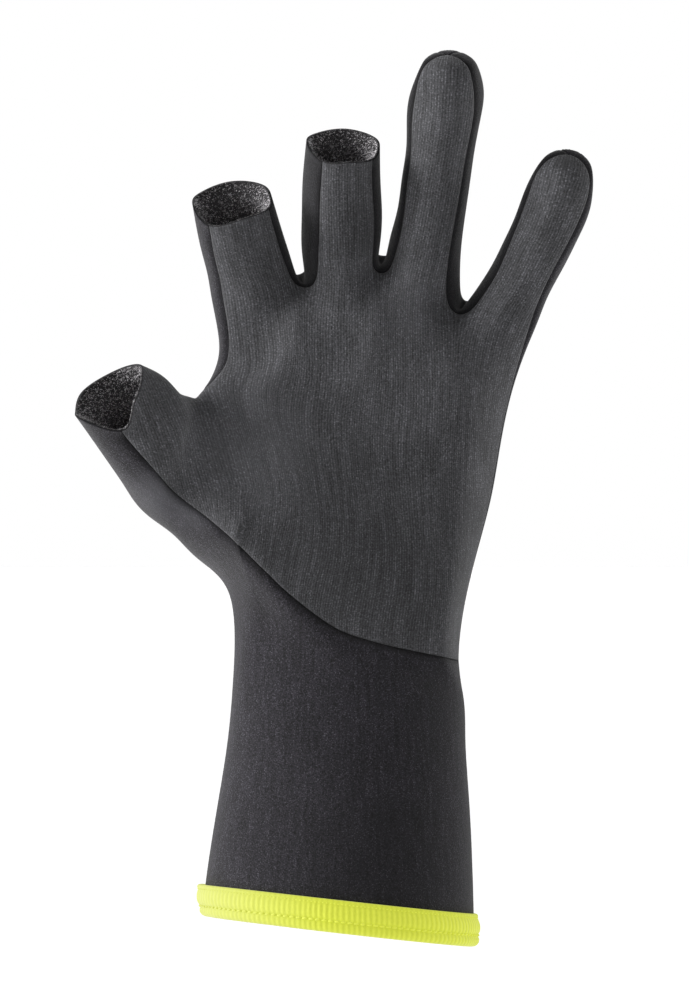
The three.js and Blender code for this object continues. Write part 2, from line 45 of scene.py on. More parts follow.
def table(names, rows):
    """A list of rows that are read by column name."""
    keys = names.split()
    return [dict(zip(keys, row)) for row in rows]


def srgb(*levels):
    """Linear colour of 8-bit display levels."""
    return tuple(((v / 255 + 0.055) / 1.055) ** 2.4 if v > 10 else v / 255 / 12.92 for v in levels)


# Walls, and how they thin out toward the open fingers' rims
PANEL_WALL = 1.7
LINING_WALL = 0.9
LINING_GAP = 0.15
SEAM_HALF_GAP = 0.09
SEAM_INNER_GAP = 0.003
RIM_WALL = 0.4
RIM_LINING = 0.3
RIM_TAPER = 5.0

# Open rims higher than this are those of the cut fingers
MOUTHS_ABOVE = 100

# Rounds of subdivision: on the outer faces, and on the inner ones that hardly show
FINE = 4
COARSE = 2
FIT_ROUNDS = 14

# The cage has 26 columns round the cuff: thumb side, 12 up the front, outer edge, 12 up the back
FRONT_COLUMNS = 12
CUFF_FRONT_END = -4
CUFF_EDGE = -24
CUFF_BACK = (-166, -44)
WRIST_SPAN = (0.12, 0.93)
EDGE_STEP = (-1.6, 6.5, 0.5)
BACK_SEAM = 40
THUMB_TOP_RING = 3

# Cuff rings from the hem up: outline points on both sides, half the depth, share of the seam's
# sweep, and angle of the first front column
CUFF_RINGS = table("leftX leftZ rightX rightZ halfDepth sweep frontStart", [
    (-44.5, 5.5, 44.2, -4.5, 34.0, 0.0, 166),
    (-44.5, 14.5, 44.2, 5.0, 33.5, 0.0, 166),
    (-41.0, 38.0, 43.6, 25.0, 31.4, 0.0, 166),
    (-37.2, 62.0, 42.6, 44.0, 28.6, 0.04, 165),
    (-35.2, 85.0, 41.5, 61.5, 26.4, 0.15, 160),
    (-36.3, 110.5, 40.9, 76.0, 25.0, 0.42, 150),
])

# Seam between palm panel and cuff, as places across and heights
SEAM_X, SEAM_Z = zip(
    (-37.0, 130.0),
    (-27.5, 121.2),
    (-18.0, 112.0),
    (-8.5, 104.5),
    (0.0, 99.0),
    (13.5, 94.5),
    (27.0, 91.5),
    (39.3, 89.0),
)

# Hand rings from the wrist seam to just under the knuckles
HAND_RINGS = table(
    "frontRootX frontRootZ backRootX backRootZ edgeX edgeZ"
    " frontRootY thenarY hollowY heelY edgeY backRootY backThumbY backMidY backHeelY",
    [
        (-37.0, 130.0, -41.5, 126.0, 39.3, 89.0, -26, -26.5, -23.5, -17, -1, 8, 21, 23, 18),
        (-30.5, 143.0, -42.0, 142.0, 41.0, 106.0, -26, -26.5, -24.5, -18.5, 0, 13, 20, 21.5, 17),
        (-32.0, 158.5, -41.0, 161.0, 45.2, 124.5, -24.5, -25.5, -23.5, -18.5, 0, 12, 19, 20.5, 16),
        (-42.3, 178.2, -43.5, 176.9, 49.8, 143.0, -16.5, -22, -21.5, -18.5, 0, 4, 15, 19, 16),
        (-38.0, 186.5, -38.5, 187.5, 53.0, 161.5, -11, -18, -19.5, -17.5, 0, 7, 14, 18, 15),
        (-37.0, 197.5, -37.5, 198.5, 57.0, 179.5, -9, -15, -17.5, -17, -2, 8, 13, 17, 13),
    ],
)

# The two faces of a hand ring: its depths from the thumb side on, how far the next one is rounded
# toward the edge, the columns that the depths belong to, and the last column's step from the edge
HAND_FACES = table("face depths rounding places step", [
    ("front", "frontRootY thenarY hollowY heelY", 0.36, (0, 2, 5.5, 9, 10.2, 11), (0, 0)),
    ("back", "backRootY backThumbY backMidY backHeelY", 0.25, (0, 2.5, 6, 9, 11), (-6, 1)),
])

# Points at the thumb side of the hand, by ring
THUMB_SIDE = {
    0: (-47.6, -5, 123.2),
    3: (-47.0, -6, 175.3),
    4: (-41.0, -2, 186.0),
    5: (-40.3, -1, 197.0),
}

# Finger stations from the root out
FINGERS = {
    name: table("leftX leftZ rightX rightZ centreY halfDepth lean leftSeam rightSeam", rows)
    for name, rows in (
        ("index", (
            (-42.4, 208.5, -14.0, 215.2, -1, 14.0, 15, 40, 24),
            (-43.9, 217.0, -16.5, 222.5, -4, 13.0, 24, 42, 30),
            (-46.3, 226.5, -19.0, 230.5, -9, 12.3, 30, 45, 30),
            (-48.6, 239.0, -22.7, 242.8, -16, 12.2, 31, 48, 30),
        )),
        ("middle", (
            (-11.8, 215.2, 12.7, 221.2, -2, 14.0, 22, 36, 34),
            (-12.5, 224.0, 13.3, 227.5, -5, 13.2, 24, 50, 38),
            (-12.5, 235.0, 13.9, 236.5, -9, 12.5, 26, 53, 37),
            (-12.2, 246.5, 13.4, 247.0, -14, 12.2, 27, 55, 37),
            (-11.0, 259.5, 13.2, 258.5, -20, 12.2, 27, 57, 36),
        )),
        ("ring", (
            (14.8, 221.2, 39.5, 207.5, -1, 14.0, 22, 36, 36),
            (16.4, 228.0, 39.7, 221.0, -4, 13.2, 20, 42, 43),
            (19.0, 238.0, 41.1, 234.0, -8, 12.3, 20, 37, 43),
            (20.5, 248.5, 42.9, 246.5, -12, 11.8, 22, 32, 42),
            (22.0, 259.0, 44.6, 258.5, -17, 11.6, 26, 28, 42),
            (22.2, 269.5, 46.7, 270.0, -23, 11.6, 30, 27, 41),
            (23.8, 278.0, 47.2, 278.3, -29, 11.0, 30, 24, 42),
            (26.9, 285.2, 44.9, 285.2, -34, 8.0, 18, 24, 44),
        )),
        ("little", (
            (41.6, 206.8, 63.8, 197.5, 0, 12.5, 14, 37, 28),
            (49.0, 217.5, 68.4, 208.5, -3, 11.5, 18, 40, 36),
            (53.9, 227.0, 73.8, 218.7, -7, 10.9, 22, 36, 42),
            (58.2, 236.2, 78.9, 229.0, -12, 10.6, 25, 29, 40),
            (62.2, 246.5, 82.9, 240.0, -17, 10.3, 28, 25, 32),
            (66.4, 253.6, 83.2, 249.6, -22, 8.3, 16, 24, 26),
        )),
    )
}
TIPS = {"ring": (36.0, -32.0, 290.0), "little": (76.4, -20.3, 257.5)}
THUMB = table("leftX leftZ rightX rightZ centreY halfDepth lean leftSeam", [
    (-59.6, 133.9, -49.0, 175.8, -11.5, 16.0, 24, 57),
    (-69.8, 145.3, -53.0, 177.2, -19.7, 16.4, 28, 60),
    (-79.0, 158.2, -57.4, 182.0, -27, 14.3, 29, 62),
    (-86.6, 169.3, -64.2, 185.4, -35, 12.9, 29, 71),
])
THUMB_COLUMN_ANGLES = (80, 50, 22, -12, -50, -90, -130, -165, 158)
STRIPS = ("fourchette_index_middle", "fourchette_middle_ring", "fourchette_ring_little")

# How far the open ends are cut back, from the left palm seam on over the palm; less than 0 is let out
CUT_BACK = {
    "thumb": (8, 3.2, 0, -1.6, -0.3, 1, 0.5, -0.8),
    "index": (3.3, 1.2, 2),
    "middle": (1.6, 0.7, 1.6),
}

# The knit's ribs lean by this many degrees on the thumb, and come upright toward the palm
THUMB_RIB_LEAN = 18
LEAN_FROM = -34.0
LEAN_FULL = -62.0
LEAN_LEVEL = 152.0

# The points of a thumb ring on its upper side, and which way and how far the knit is carried round it
THUMB_UPPER = range(1, 6)
THUMB_SIDE_WAY = (0.72, 0.69)
THUMB_WRAP = 0.45

# Where the seams are rounded within the surface: between the fingers, at the closed tips, and at the
# thumb's root and crotch
SEAM_SPOTS = table("middle reach strength", [
    ((-12.9, -6, 212.0), 13, 0.06),
    ((13.7, -6, 218.5), 13, 0.06),
    ((41.3, -6, 205.0), 13, 0.06),
    ((36.0, -34, 288.8), 12, 0.4),
    ((76.4, -22, 256.5), 11, 0.4),
    ((-35.0, -23, 129.0), 17, 0.45),
    ((-44.0, -9, 177.0), 10, 0.3),
])
SEAM_ROUNDS = 250

# Millimetres over which the rounding of a seam spot fades out
SPOT_FADE = 4.0

# How panels sink toward the palm panel's seam and toward the other seams, as depth and reach, the reach of
# the painted shade beside the palm panel's seam, and the material slot
SEAM_FORM = table("panels palmDepth palmReach otherDepth otherReach shade slot", [
    (("palm_panel",), 0.16, 0.45, 0.0, 1.0, 0.35, "palm_knit"),
    (("back_and_cuff",), 0.75, 1.3, 0.3, 0.6, 1.5, "jersey_neoprene"),
    (STRIPS, 0.6, 1.0, 0.3, 0.6, 1.2, "side_strip"),
])

# Millimetres between the palm knit's ribs, stitches and courses, how far its ribs wander, how far its
# stitches stray from an even lattice, and the size of its streaks
RIB_PITCH = 0.9
STITCH_PITCH = 0.6
COURSE_PITCH = 0.62
RIB_WANDER = 0.5
STITCH_STRAY = 0.6
STREAK_WIDTH = 1.6
STREAK_LENGTH = 18.0

# The jersey's stitches, and its upright rows, laid out round the glove's own axis
JERSEY_PITCH = 0.45
ROW_PITCH = 1.2
ROW_LENGTH = 14.0
ROW_RADIUS = 32.0

GRAIN_ROUGHNESS = 0.6
CLOTH_SPECULAR = 0.25

# How much each feature of the knit, the jersey, the fleece and the hem counts in the cloth's relief
# (RELIEF) or lightness (LIGHT), how strongly the painted shade beside the seam covers it, how much darker
# the fleece is than its tufts, and how the hem's fibre noise is stretched
RIB_RELIEF = 0.27
STITCH_RELIEF = 0.55
SPECK_RELIEF = 0.5
KNIT_LIGHT = 0.62
STREAK_LIGHT = 0.36
PATCH_LIGHT = 0.16
KNIT_SPECK_LIGHT = 0.65
KNIT_SEAM_SHADOW = 0.35
JERSEY_RELIEF = 0.9
ROW_RELIEF = 0.5
JERSEY_LIGHT = 0.35
ROW_LIGHT = 0.25
CLOUD_LIGHT = 0.14
JERSEY_SPECK_LIGHT = 0.6
JERSEY_SEAM_SHADOW = 0.75
TINT_LIGHT = 0.75
CLUMP_LIGHT = 0.7
FLEECE_DARK = 0.2
FIBRE_LIGHT = 0.6
# The hem's rib crests are lighter than their valleys: painted shade in the valleys
HEM_RIB_PAINTED_SHADE = 0.5
HEM_FIBRE = (1.0, 1.0, 0.35)

# Colours of each cloth, from its dark places to its light ones
COLORS = {
    "palm_knit": [(0.15, srgb(36, 36, 37)), (0.5, srgb(74, 74, 77)), (0.9, srgb(131, 131, 137))],
    "jersey_neoprene": [(0.22, srgb(12, 11, 13)), (0.5, srgb(44, 42, 48)), (0.8, srgb(98, 95, 104))],
    # The strips between the fingers: the jersey painted darker for the shade that falls between the fingers
    "side_strip": [(0.25, srgb(10, 9, 11)), (0.52, srgb(28, 27, 31)), (0.85, srgb(64, 63, 70))],
    "foam_edge": [(0.3, srgb(14, 14, 15)), (0.7, srgb(38, 37, 40))],
    "inner_jersey": [(0.3, srgb(20, 20, 22)), (0.75, srgb(52, 51, 55))],
    "fleece_lining": [(0.2, srgb(42, 41, 42)), (0.48, srgb(152, 150, 152)), (0.76, srgb(245, 241, 245))],
    # Lighter fleece colours: painted light for deep inside a finger, where the shade is
    "fleece_deep": [(0.2, srgb(78, 76, 78)), (0.48, srgb(214, 210, 214)), (0.68, srgb(255, 252, 254))],
    "hem_band": [(0.1, (0.19, 0.22, 0.02)), (0.5, (0.31, 0.34, 0.03)), (0.9, (0.42, 0.45, 0.06))],
}

# Colours of the painted shade beside the palm panel's seam, where the groove's shadow falls
SEAM_SHADOW_COLORS = {
    "palm_knit": srgb(30, 30, 31),
    "jersey_neoprene": srgb(14, 13, 15),
    "side_strip": srgb(11, 10, 12),
}

# Depth of each cloth's relief in metres, its roughness and its sheen
FINISHES = {
    "palm_knit": (0.00016, 0.82, 0.12),
    "jersey_neoprene": (0.00010, 0.9, 0.15),
    "side_strip": (0.00010, 0.9, 0.15),
    "foam_edge": (0.00008, 0.95, 0.0),
    "inner_jersey": (0.00015, 0.95, 0.2),
    "fleece_lining": (0.0003, 0.95, 0.1),
    "hem_band": (0.00010, 0.75, 0.2),
}

# The hem's paler shade on the thumb side, painted light where the key light falls, and where it fades out
# from there; and the glow painted over the whole band
HEM_LIT_SIDE = (0.21, 0.21, 0.115)
HEM_LIT_SIDE_SPAN = (-46.0, -5.0)
HEM_LIT_SIDE_SHARE = 0.75
HEM_PAINTED_GLOW = (0.385, 0.42, 0.028)

# Broad soft areas of painted shade and painted light, where the cloth is drawn darker or lighter: middle,
# reach and share of the shade that is mixed in, and that shade's 8-bit level, a little cooler than grey
COOL = 1.04
PALM_PAINTED_LIGHT_AND_SHADE = table("middle reach share level", [
    ((12, -22, 120), 54, 0.40, 8),
    ((-31, -24, 164), 32, 0.10, 170),
    ((24, -14, 207), 18, 0.05, 170),
    ((6, -18, 230), 17, 0.30, 8),
    ((-25, -24, 125), 17, 0.25, 8),
    ((-23, -15, 193), 13, 0.20, 8),
])
# Painted shade and painted light on the jersey, in the same columns
JERSEY_PAINTED_LIGHT_AND_SHADE = table("middle reach share level", [
    ((-55, -31, 140), 20, 0.24, 170),
    ((-34, -21, 124), 15, 0.36, 8),
    ((24, -28, 15), 62, 0.45, 6),
    ((34, -14, 75), 34, 0.30, 6),
])

# Section of the hem binding: height over the cuff's rim, distance out from the cuff's outer face, and how
# strongly its cross ribs stand out and how deep the painted shade in their valleys is
HEM_SECTION = table("up out ribs", [
    (9.3, -0.1, 0.0),
    (9.7, 0.35, 0.2),
    (9.6, 0.85, 0.4),
    (9.15, 1.2, 0.5),
    (8.7, 1.2, 0.4),
    (8.3, 1.05, 0.3),
    (7.9, 1.2, 0.6),
    (7.3, 1.5, 0.9),
    (6.6, 1.75, 1.0),
    (5.8, 1.93, 1.0),
    (5.0, 2.0, 1.0),
    (4.2, 1.95, 1.0),
    (3.5, 1.75, 0.9),
    (3.0, 1.45, 0.6),
    (2.6, 1.25, 0.3),
    (2.2, 1.35, 0.4),
    (1.7, 1.6, 0.7),
    (1.0, 1.75, 0.9),
    (0.2, 1.6, 0.9),
    (-0.6, 1.1, 0.8),
    (-1.1, 0.3, 0.7),
    (-1.2, -0.8, 0.6),
    (-1.0, -1.9, 0.6),
    (-0.3, -2.7, 0.6),
    (1.5, -3.0, 0.6),
    (4.5, -3.0, 0.6),
    (7.5, -2.8, 0.5),
    (9.0, -2.5, 0.3),
    (9.0, -1.95, 0.0),
    (4.5, -1.95, 0.0),
    (-0.15, -1.95, 0.0),
    (-0.15, 0.0, 0.0),
    (4.5, 0.12, 0.0),
])
HEM_STEPS = 1150
HEM_RIB_PITCH = 1.75
HEM_RIB_HEIGHT = 0.17
HEM_RIB_SLANT = 0.10
HEM_SEED = 7

# How far the hem's ribs stray, in radians, and how strong they are: limits, and at how many places
HEM_STRAY = (-0.5, 0.5, 90)
HEM_STRENGTH = (0.5, 1.15, 60)

# Rows of stitches on the hem: height over the rim, distance out, spacing, length and thickness of
# a stitch, and how much it slants
STITCH_ROWS = table("name up out pitch length radius slant", [
    ("hem_stitches", 2.6, 1.5, 2.1, 1.75, 0.36, 0.15),
    ("hem_edge_stitches", 8.35, 1.12, 1.25, 0.7, 0.2, 0.1),
])

# A stitch's rings: place along its length, and share of its thickness
STITCH_BANDS = ((-0.42, 0.6), (-0.2, 0.95), (0.2, 0.95), (0.42, 0.6))
STITCH_SIDES = 6

# Lining of each cut finger: its first band, how many tufts, and how rare the light ones are
LININGS = table("finger row tufts rarity", [
    ("thumb", 2, 14000, 0.7),
    ("index", 2, 10000, 1.1),
    ("middle", 3, 10000, 0.95),
])

# The fleece's tufts and the fringe at the rim, and how far into a finger the fleece is painted lighter, as
# painted light against the shade deep inside
PILE_ROOT = 0.1
PILE_HEIGHT = (0.15, 0.5)
PILE_WIDTH = (0.10, 0.24)
PILE_LEAN = 0.55
PILE_SEED = 11
FRINGE_SHARE = 6
FRINGE_HEIGHT = (0.05, 0.25)
FRINGE_LEAN = 0.12
FRINGE_LIGHT = 0.25
FLEECE_PAINTED_LIGHT_DEPTH = 12.0

# The photograph's frame: middle of the picture and its height, at the glove's depth
FRAME_MIDDLE = (1.5, 141.9)
FRAME_HEIGHT = 330.0
FRAME_DEPTH = -12.0
CAMERA_DISTANCE = 7000.0

# The floor's level and half width, and its own glow
FLOOR_LEVEL = -70.0
FLOOR_HALF = 60000.0
FLOOR_GLOW = 0.25

SUNS = table("name toward strength angle", [
    ("key", (-0.96, -0.17, 0.20), 5.0, 36),
    ("top", (-0.25, -0.3, 0.92), 0.35, 50),
    ("rim", (0.94, 0.24, 0.22), 1.35, 36),
    ("back", (-0.1, 0.9, 0.45), 0.8, 60),
])
AMBIENT = 0.20


def lerp(a, b, share):
    return a + (b - a) * share


def unit(vectors):
    return vectors / np.maximum(np.linalg.norm(vectors, axis=1), 1e-9)[:, None]


def smooth(share):
    """From 0 to 1 with a level start and end."""
    share = np.clip(share, 0, 1)
    return share * share * (3 - 2 * share)


def through(places, values, at):
    """A smooth curve through values given at ascending places."""
    last = len(places) - 1
    i = 0
    while i < last - 1 and at > places[i + 1]:
        i += 1

    def slope(k):
        a = max(k - 1, 0)
        b = min(k + 1, last)
        return (values[b] - values[a]) / (places[b] - places[a])

    span = places[i + 1] - places[i]
    t = (at - places[i]) / span
    start = values[i] * (2 * t**3 - 3 * t**2 + 1) + slope(i) * span * (t**3 - 2 * t**2 + t)
    end = values[i + 1] * (3 * t**2 - 2 * t**3) + slope(i + 1) * span * (t**3 - t**2)
    return start + end


class Cage:
    """Points with their place in the knit (across the ribs, along the ribs), and quads with a panel."""

    def __init__(self):
        self.points = []
        self.weave = []
        self.quads = []

    def point(self, x, y, z):
        self.points.append((x, y, z))
        self.weave.append((x, z))
        return len(self.points) - 1

    def quad(self, corners, panel, finger, row=0):
        self.quads.append((corners, panel, finger, row))

    def band(self, lower, upper, start, stop, panels, finger, row=0):
        for i in range(start, stop):
            j = (i + 1) % len(lower)
            self.quad((lower[i], lower[j], upper[j], upper[i]), panels[i], finger, row)

    def wrap(self, ring, start, across, along):
        """Lays the knit round a ring of points from one of them, at its true width both ways."""
        half = len(ring) // 2
        for step, count in ((1, half), (-1, len(ring) - 1 - half)):
            place = across
            for k in range(count):
                here = ring[(start + step * k) % len(ring)]
                there = ring[(start + step * (k + 1)) % len(ring)]
                place += step * math.dist(self.points[here], self.points[there])
                self.weave[there] = (place, along(there))
        self.weave[ring[start]] = (across, along(ring[start]))


def spread(station):
    """The middle of a station, and half of the way from its left side to its right one."""
    left = np.array((station["leftX"], station["centreY"], station["leftZ"]))
    right = np.array((station["rightX"], station["centreY"], station["rightZ"]))
    return (left + right) / 2, (right - left) / 2


def ring_across(cage, station, angles):
    """Points at the given angles round an ellipse that leans toward the palm."""
    centre, half = spread(station)
    along = np.array((-half[2], 0, half[0])) / np.linalg.norm(half)
    lean = math.radians(station["lean"])
    to_palm = -math.sin(lean) * along
    to_palm[1] = -math.cos(lean)
    ring = []
    for angle in np.radians(angles):
        p = centre + half * math.cos(angle) + to_palm * station["halfDepth"] * math.sin(angle)
        ring.append(cage.point(*p))
    return ring


def cut_back(cage, rings, distances):
    """Moves the first points of an open end toward the ring before it."""
    for before, end, distance in zip(rings[-2], rings[-1], distances):
        here = np.array(cage.points[end])
        back = np.array(cage.points[before]) - here
        cage.points[end] = tuple(here + back * distance / np.linalg.norm(back))


def finger_rings(cage, stations):
    """Rings of eight points, the first three on the palm side, with the knit laid round each."""
    rings = []
    root, _ = spread(stations[0])
    before = root
    along = root[2]
    for station in stations:
        centre, half = spread(station)
        along += np.linalg.norm(centre - before)
        before = centre
        left, right = station["leftSeam"], station["rightSeam"]
        middle = 90 + (right - left) / 2
        angles = (180 - left, middle, right, 0, -BACK_SEAM, -90, BACK_SEAM - 180, 180)
        ring = ring_across(cage, station, angles)
        across = root[0] + np.linalg.norm(half) * math.cos(math.radians(middle))
        cage.wrap(ring, 1, across, lambda _, place=along: place)
        rings.append(ring)
    return rings


def build_finger(cage, name, rings, panels, tip=None):
    for row in range(1, len(rings)):
        cage.band(rings[row - 1], rings[row], 0, len(panels), panels, name, row)
    if tip is None:
        return
    pole = cage.point(*tip)
    end = rings[-1]
    across, along = cage.weave[end[1]]
    cage.weave[pole] = (across, along + math.dist(tip, cage.points[end[1]]))
    for i in range(0, len(end), 2):
        cage.quad((end[i], end[i + 1], end[(i + 2) % len(end)], pole), panels[i], name, len(rings))


def cuff_ring(cage, ring):
    middle = (ring["leftX"] + ring["rightX"]) / 2
    half = (ring["rightX"] - ring["leftX"]) / 2

    def place(angle, front):
        across = (1 + math.cos(math.radians(angle))) / 2
        z = lerp(ring["leftZ"], ring["rightZ"], across)
        if front:
            x = lerp(SEAM_X[0], SEAM_X[-1], across)
            z += ring["sweep"] * (through(SEAM_X, SEAM_Z, x) - lerp(SEAM_Z[0], SEAM_Z[-1], across))
        y = -ring["halfDepth"] * math.sin(math.radians(angle))
        return cage.point(middle + half * math.cos(math.radians(angle)), y, z)

    last = FRONT_COLUMNS - 1
    front = [place(lerp(ring["frontStart"], CUFF_FRONT_END, j / last), True) for j in range(FRONT_COLUMNS)]
    back = [place(lerp(*CUFF_BACK, j / last), False) for j in range(FRONT_COLUMNS)]
    return {"side": place(180, False), "front": front, "edge": place(CUFF_EDGE, False), "back": back}


def face_ends(ring, face):
    """Where the columns of a face start at the thumb and end at the outer edge, as x and z."""
    start = (ring[face["face"] + "RootX"], ring[face["face"] + "RootZ"])
    end = (ring["edgeX"] + face["step"][0], ring["edgeZ"] + face["step"][1])
    return np.array([start, end])


def hand_ring(cage, ring, rise, wrist, knuckles):
    """A ring between the curves at the wrist and at the knuckles, moved to its own ends."""
    share = np.linspace(0, 1, FRONT_COLUMNS)[:, None]
    made = {}
    for face in HAND_FACES:
        name = face["face"]
        between = lerp(wrist[name], knuckles[name], rise)
        shift = face_ends(ring, face) - between[[0, -1]]
        depths = [ring[key] for key in face["depths"].split()]
        depths += [lerp(depths[-1], ring["edgeY"], face["rounding"]), ring["edgeY"]]
        made[name] = [
            cage.point(x, through(face["places"], depths, j), z)
            for j, (x, z) in enumerate(between + lerp(*shift, share))
        ]
    made["edge"] = cage.point(*(ring["edge" + axis] + step for axis, step in zip("XYZ", EDGE_STEP)))
    return made


def wrist_curves():
    """Where the hand's columns start at the wrist: along the seam in front, straight at the back."""
    share = np.linspace(0, 1, FRONT_COLUMNS)
    turn = np.cos(math.pi * lerp(*WRIST_SPAN, share))
    places = lerp(SEAM_X[0], SEAM_X[-1], (turn[0] - turn) / (turn[0] - turn[-1]))
    front = np.array([(x, through(SEAM_X, SEAM_Z, x)) for x in places])
    return {"front": front, "back": lerp(*face_ends(HAND_RINGS[0], HAND_FACES[1]), share[:, None])}


def ring_points(ring):
    """The whole ring from the thumb side on, where some hand rings have no point."""
    return [ring.get("side"), *ring["front"], ring["edge"], *reversed(ring["back"])]


def thumb_weave(cage, root, rings):
    """Carries the knit from the palm out over the thumb, and part of the way round its sides."""
    palm_root = root[:THUMB_TOP_RING + 1]
    offset = np.mean([cage.weave[i][0] - cage.points[i][0] for i in palm_root])
    for ring in rings:
        nearest = min(cage.points[i][1] for i in ring)
        for k, i in enumerate(ring):
            x, y, z = cage.points[i]
            round_side = THUMB_WRAP * (y - nearest) * (1 if k in THUMB_UPPER else -1)
            across, along = (way * round_side for way in THUMB_SIDE_WAY)
            cage.weave[i] = (x + offset + across, z + along)
    crotch = root[THUMB_TOP_RING + 1]
    beside = (cage.weave[root[THUMB_TOP_RING]], cage.weave[rings[0][THUMB_TOP_RING + 1]])
    cage.weave[crotch] = tuple(np.mean(beside, axis=0))


def lean_weave(cage):
    """Makes the knit's ribs lean toward the thumb's tip, more and more toward the thumb."""
    slope = math.tan(math.radians(THUMB_RIB_LEAN))
    for i, (x, _, z) in enumerate(cage.points):
        share = smooth((x - LEAN_FROM) / (LEAN_FULL - LEAN_FROM))
        across, along = cage.weave[i]
        if z < FINGERS["index"][0]["leftZ"]:
            cage.weave[i] = (across + slope * share * (z - LEAN_LEVEL), along)


def build_cage():
    cage = Cage()
    fingers = [finger_rings(cage, FINGERS[name]) for name in FINGERS]
    for name, rings in zip(FINGERS, fingers):
        cut_back(cage, rings, CUT_BACK.get(name, ()))
    roots = [rings[0] for rings in fingers]
    knuckles = {
        "side": roots[0][7],
        "front": [i for ring in roots for i in ring[:3]],
        "edge": roots[3][3],
        "back": [i for ring in roots for i in (ring[6], ring[5], ring[4])],
    }
    curves = {
        side: np.array([(cage.points[i][0], cage.points[i][2]) for i in knuckles[side]])
        for side in ("front", "back")
    }
    wrist = wrist_curves()
    hand = [
        hand_ring(cage, ring, row / len(HAND_RINGS), wrist, curves)
        for row, ring in enumerate(HAND_RINGS)
    ]
    for ring, place in THUMB_SIDE.items():
        hand[ring]["side"] = cage.point(*place)
    cuff = [cuff_ring(cage, ring) for ring in CUFF_RINGS]

    # The knit lies straight up the palm, and keeps its true width round the outer edge
    def height(i):
        return cage.points[i][2]

    start = FRONT_COLUMNS // 2
    for ring in hand + cuff:
        loop = ring_points(ring)
        loop[0] = ring.get("side", ring["front"][0])
        cage.wrap(loop, start, cage.points[loop[start]][0], height)

    hand.append(knuckles)
    cuff.append(hand[0])
    for lower, upper in zip(cuff, cuff[1:]):
        loop = ring_points(lower)
        cage.band(loop, ring_points(upper), 0, len(loop), ["back_and_cuff"] * len(loop), "cuff")

    columns = [1, FRONT_COLUMNS - 1, FRONT_COLUMNS + 2]
    panels = np.repeat(["back_and_cuff", "palm_panel", "back_and_cuff"], columns)
    for row in range(1, len(hand)):
        lower = ring_points(hand[row - 1])
        upper = ring_points(hand[row])
        beside_thumb = row <= THUMB_TOP_RING
        start, stop = (1, len(lower) - 1) if beside_thumb else (0, len(lower))
        cage.band(lower, upper, start, stop, panels, "hand", row)

    for strip, a, b in zip(STRIPS, roots, roots[1:]):
        cage.quad((a[2], b[0], b[7], a[3]), strip, "web")
        cage.quad((a[3], b[7], b[6], a[4]), strip, "web")
    sides = ("back_and_cuff", *STRIPS, "back_and_cuff")
    for name, rings, left, right in zip(FINGERS, fingers, sides, sides[1:]):
        panels = np.repeat(["palm_panel", right, "back_and_cuff", left], 2)
        build_finger(cage, name, rings, panels, TIPS.get(name))

    root_rings = hand[: THUMB_TOP_RING + 1]
    thumb_root = [
        *(ring["front"][0] for ring in root_rings),
        hand[THUMB_TOP_RING]["side"],
        *(ring["back"][0] for ring in reversed(root_rings)),
        hand[0]["side"],
    ]
    thumb = [
        ring_across(cage, station, (180 - station["leftSeam"], *THUMB_COLUMN_ANGLES))
        for station in THUMB
    ]
    cut_back(cage, thumb, CUT_BACK["thumb"])
    thumb_weave(cage, thumb_root, thumb)
    lean_weave(cage)
    upper = len(root_rings)
    panels = np.repeat(["palm_panel", "back_and_cuff"], [upper, len(thumb_root) - upper])
    build_finger(cage, "thumb", [thumb_root, *thumb], panels)
    return cage


def edges_of(quads):
    """Each edge once, the edge of every quad side, and how many quads meet at each edge."""
    ends = np.stack([quads, np.roll(quads, -1, 1)], 2).reshape(-1, 2)
    edges, side_edge, uses = np.unique(np.sort(ends, 1), axis=0, return_inverse=True, return_counts=True)
    return edges, side_edge.reshape(-1, 4), uses


def sums(count, ids, values):
    """Adds rows of values up by the point that each belongs to."""
    total = np.zeros((count, values.shape[-1]))
    np.add.at(total, ids, values)
    return total


def neighbour_sums(data, edges):
    both = np.concatenate([edges, edges[:, ::-1]])
    return sums(len(data), both[:, 0], data[both[:, 1]])


def limit_points(data, quads):
    """Where each cage point lands on the smooth surface."""
    edges, _, uses = edges_of(quads)
    valence = np.bincount(edges.ravel(), minlength=len(data))[:, None]
    diagonal = sums(len(data), quads, data[np.roll(quads, 2, 1)])
    limit = valence**2 * data + 4 * neighbour_sums(data, edges) + diagonal
    limit /= np.maximum(valence * (valence + 5), 1)
    rim = edges[uses == 1]
    at_rim = np.unique(rim)
    limit[at_rim] = (4 * data[at_rim] + neighbour_sums(data, rim)[at_rim]) / 6
    return limit


def subdivide(data, quads):
    """One round of Catmull-Clark. Points keep their numbers, and each quad gives four in its place."""
    edges, side_edge, uses = edges_of(quads)
    count = len(data)
    centres = data[quads].mean(1)
    valence = np.bincount(edges.ravel(), minlength=count)[:, None]
    faces = np.bincount(quads.ravel(), minlength=count)[:, None]
    near = neighbour_sums(data, edges) / np.maximum(valence, 1)
    round_faces = sums(count, quads, centres[:, None]) / np.maximum(faces, 1)
    moved = ((valence - 2) * data + near + round_faces) / np.maximum(valence, 1)
    rim = edges[uses == 1]
    at_rim = np.unique(rim)
    moved[at_rim] = (6 * data[at_rim] + neighbour_sums(data, rim)[at_rim]) / 8
    beside = sums(len(edges), side_edge, centres[:, None])
    middles = (data[edges].sum(1) + beside) / 4
    middles[uses == 1] = data[edges[uses == 1]].mean(1)
    side = count + side_edge
    centre = np.broadcast_to((count + len(edges) + np.arange(len(quads)))[:, None], quads.shape)
    finer = np.stack([quads, side, centre, np.roll(side, 1, 1)], 2).reshape(-1, 4)
    middle_of = {tuple(edge): count + k for k, edge in enumerate(edges.tolist())}
    return np.concatenate([moved, middles, centres]), finer, middle_of


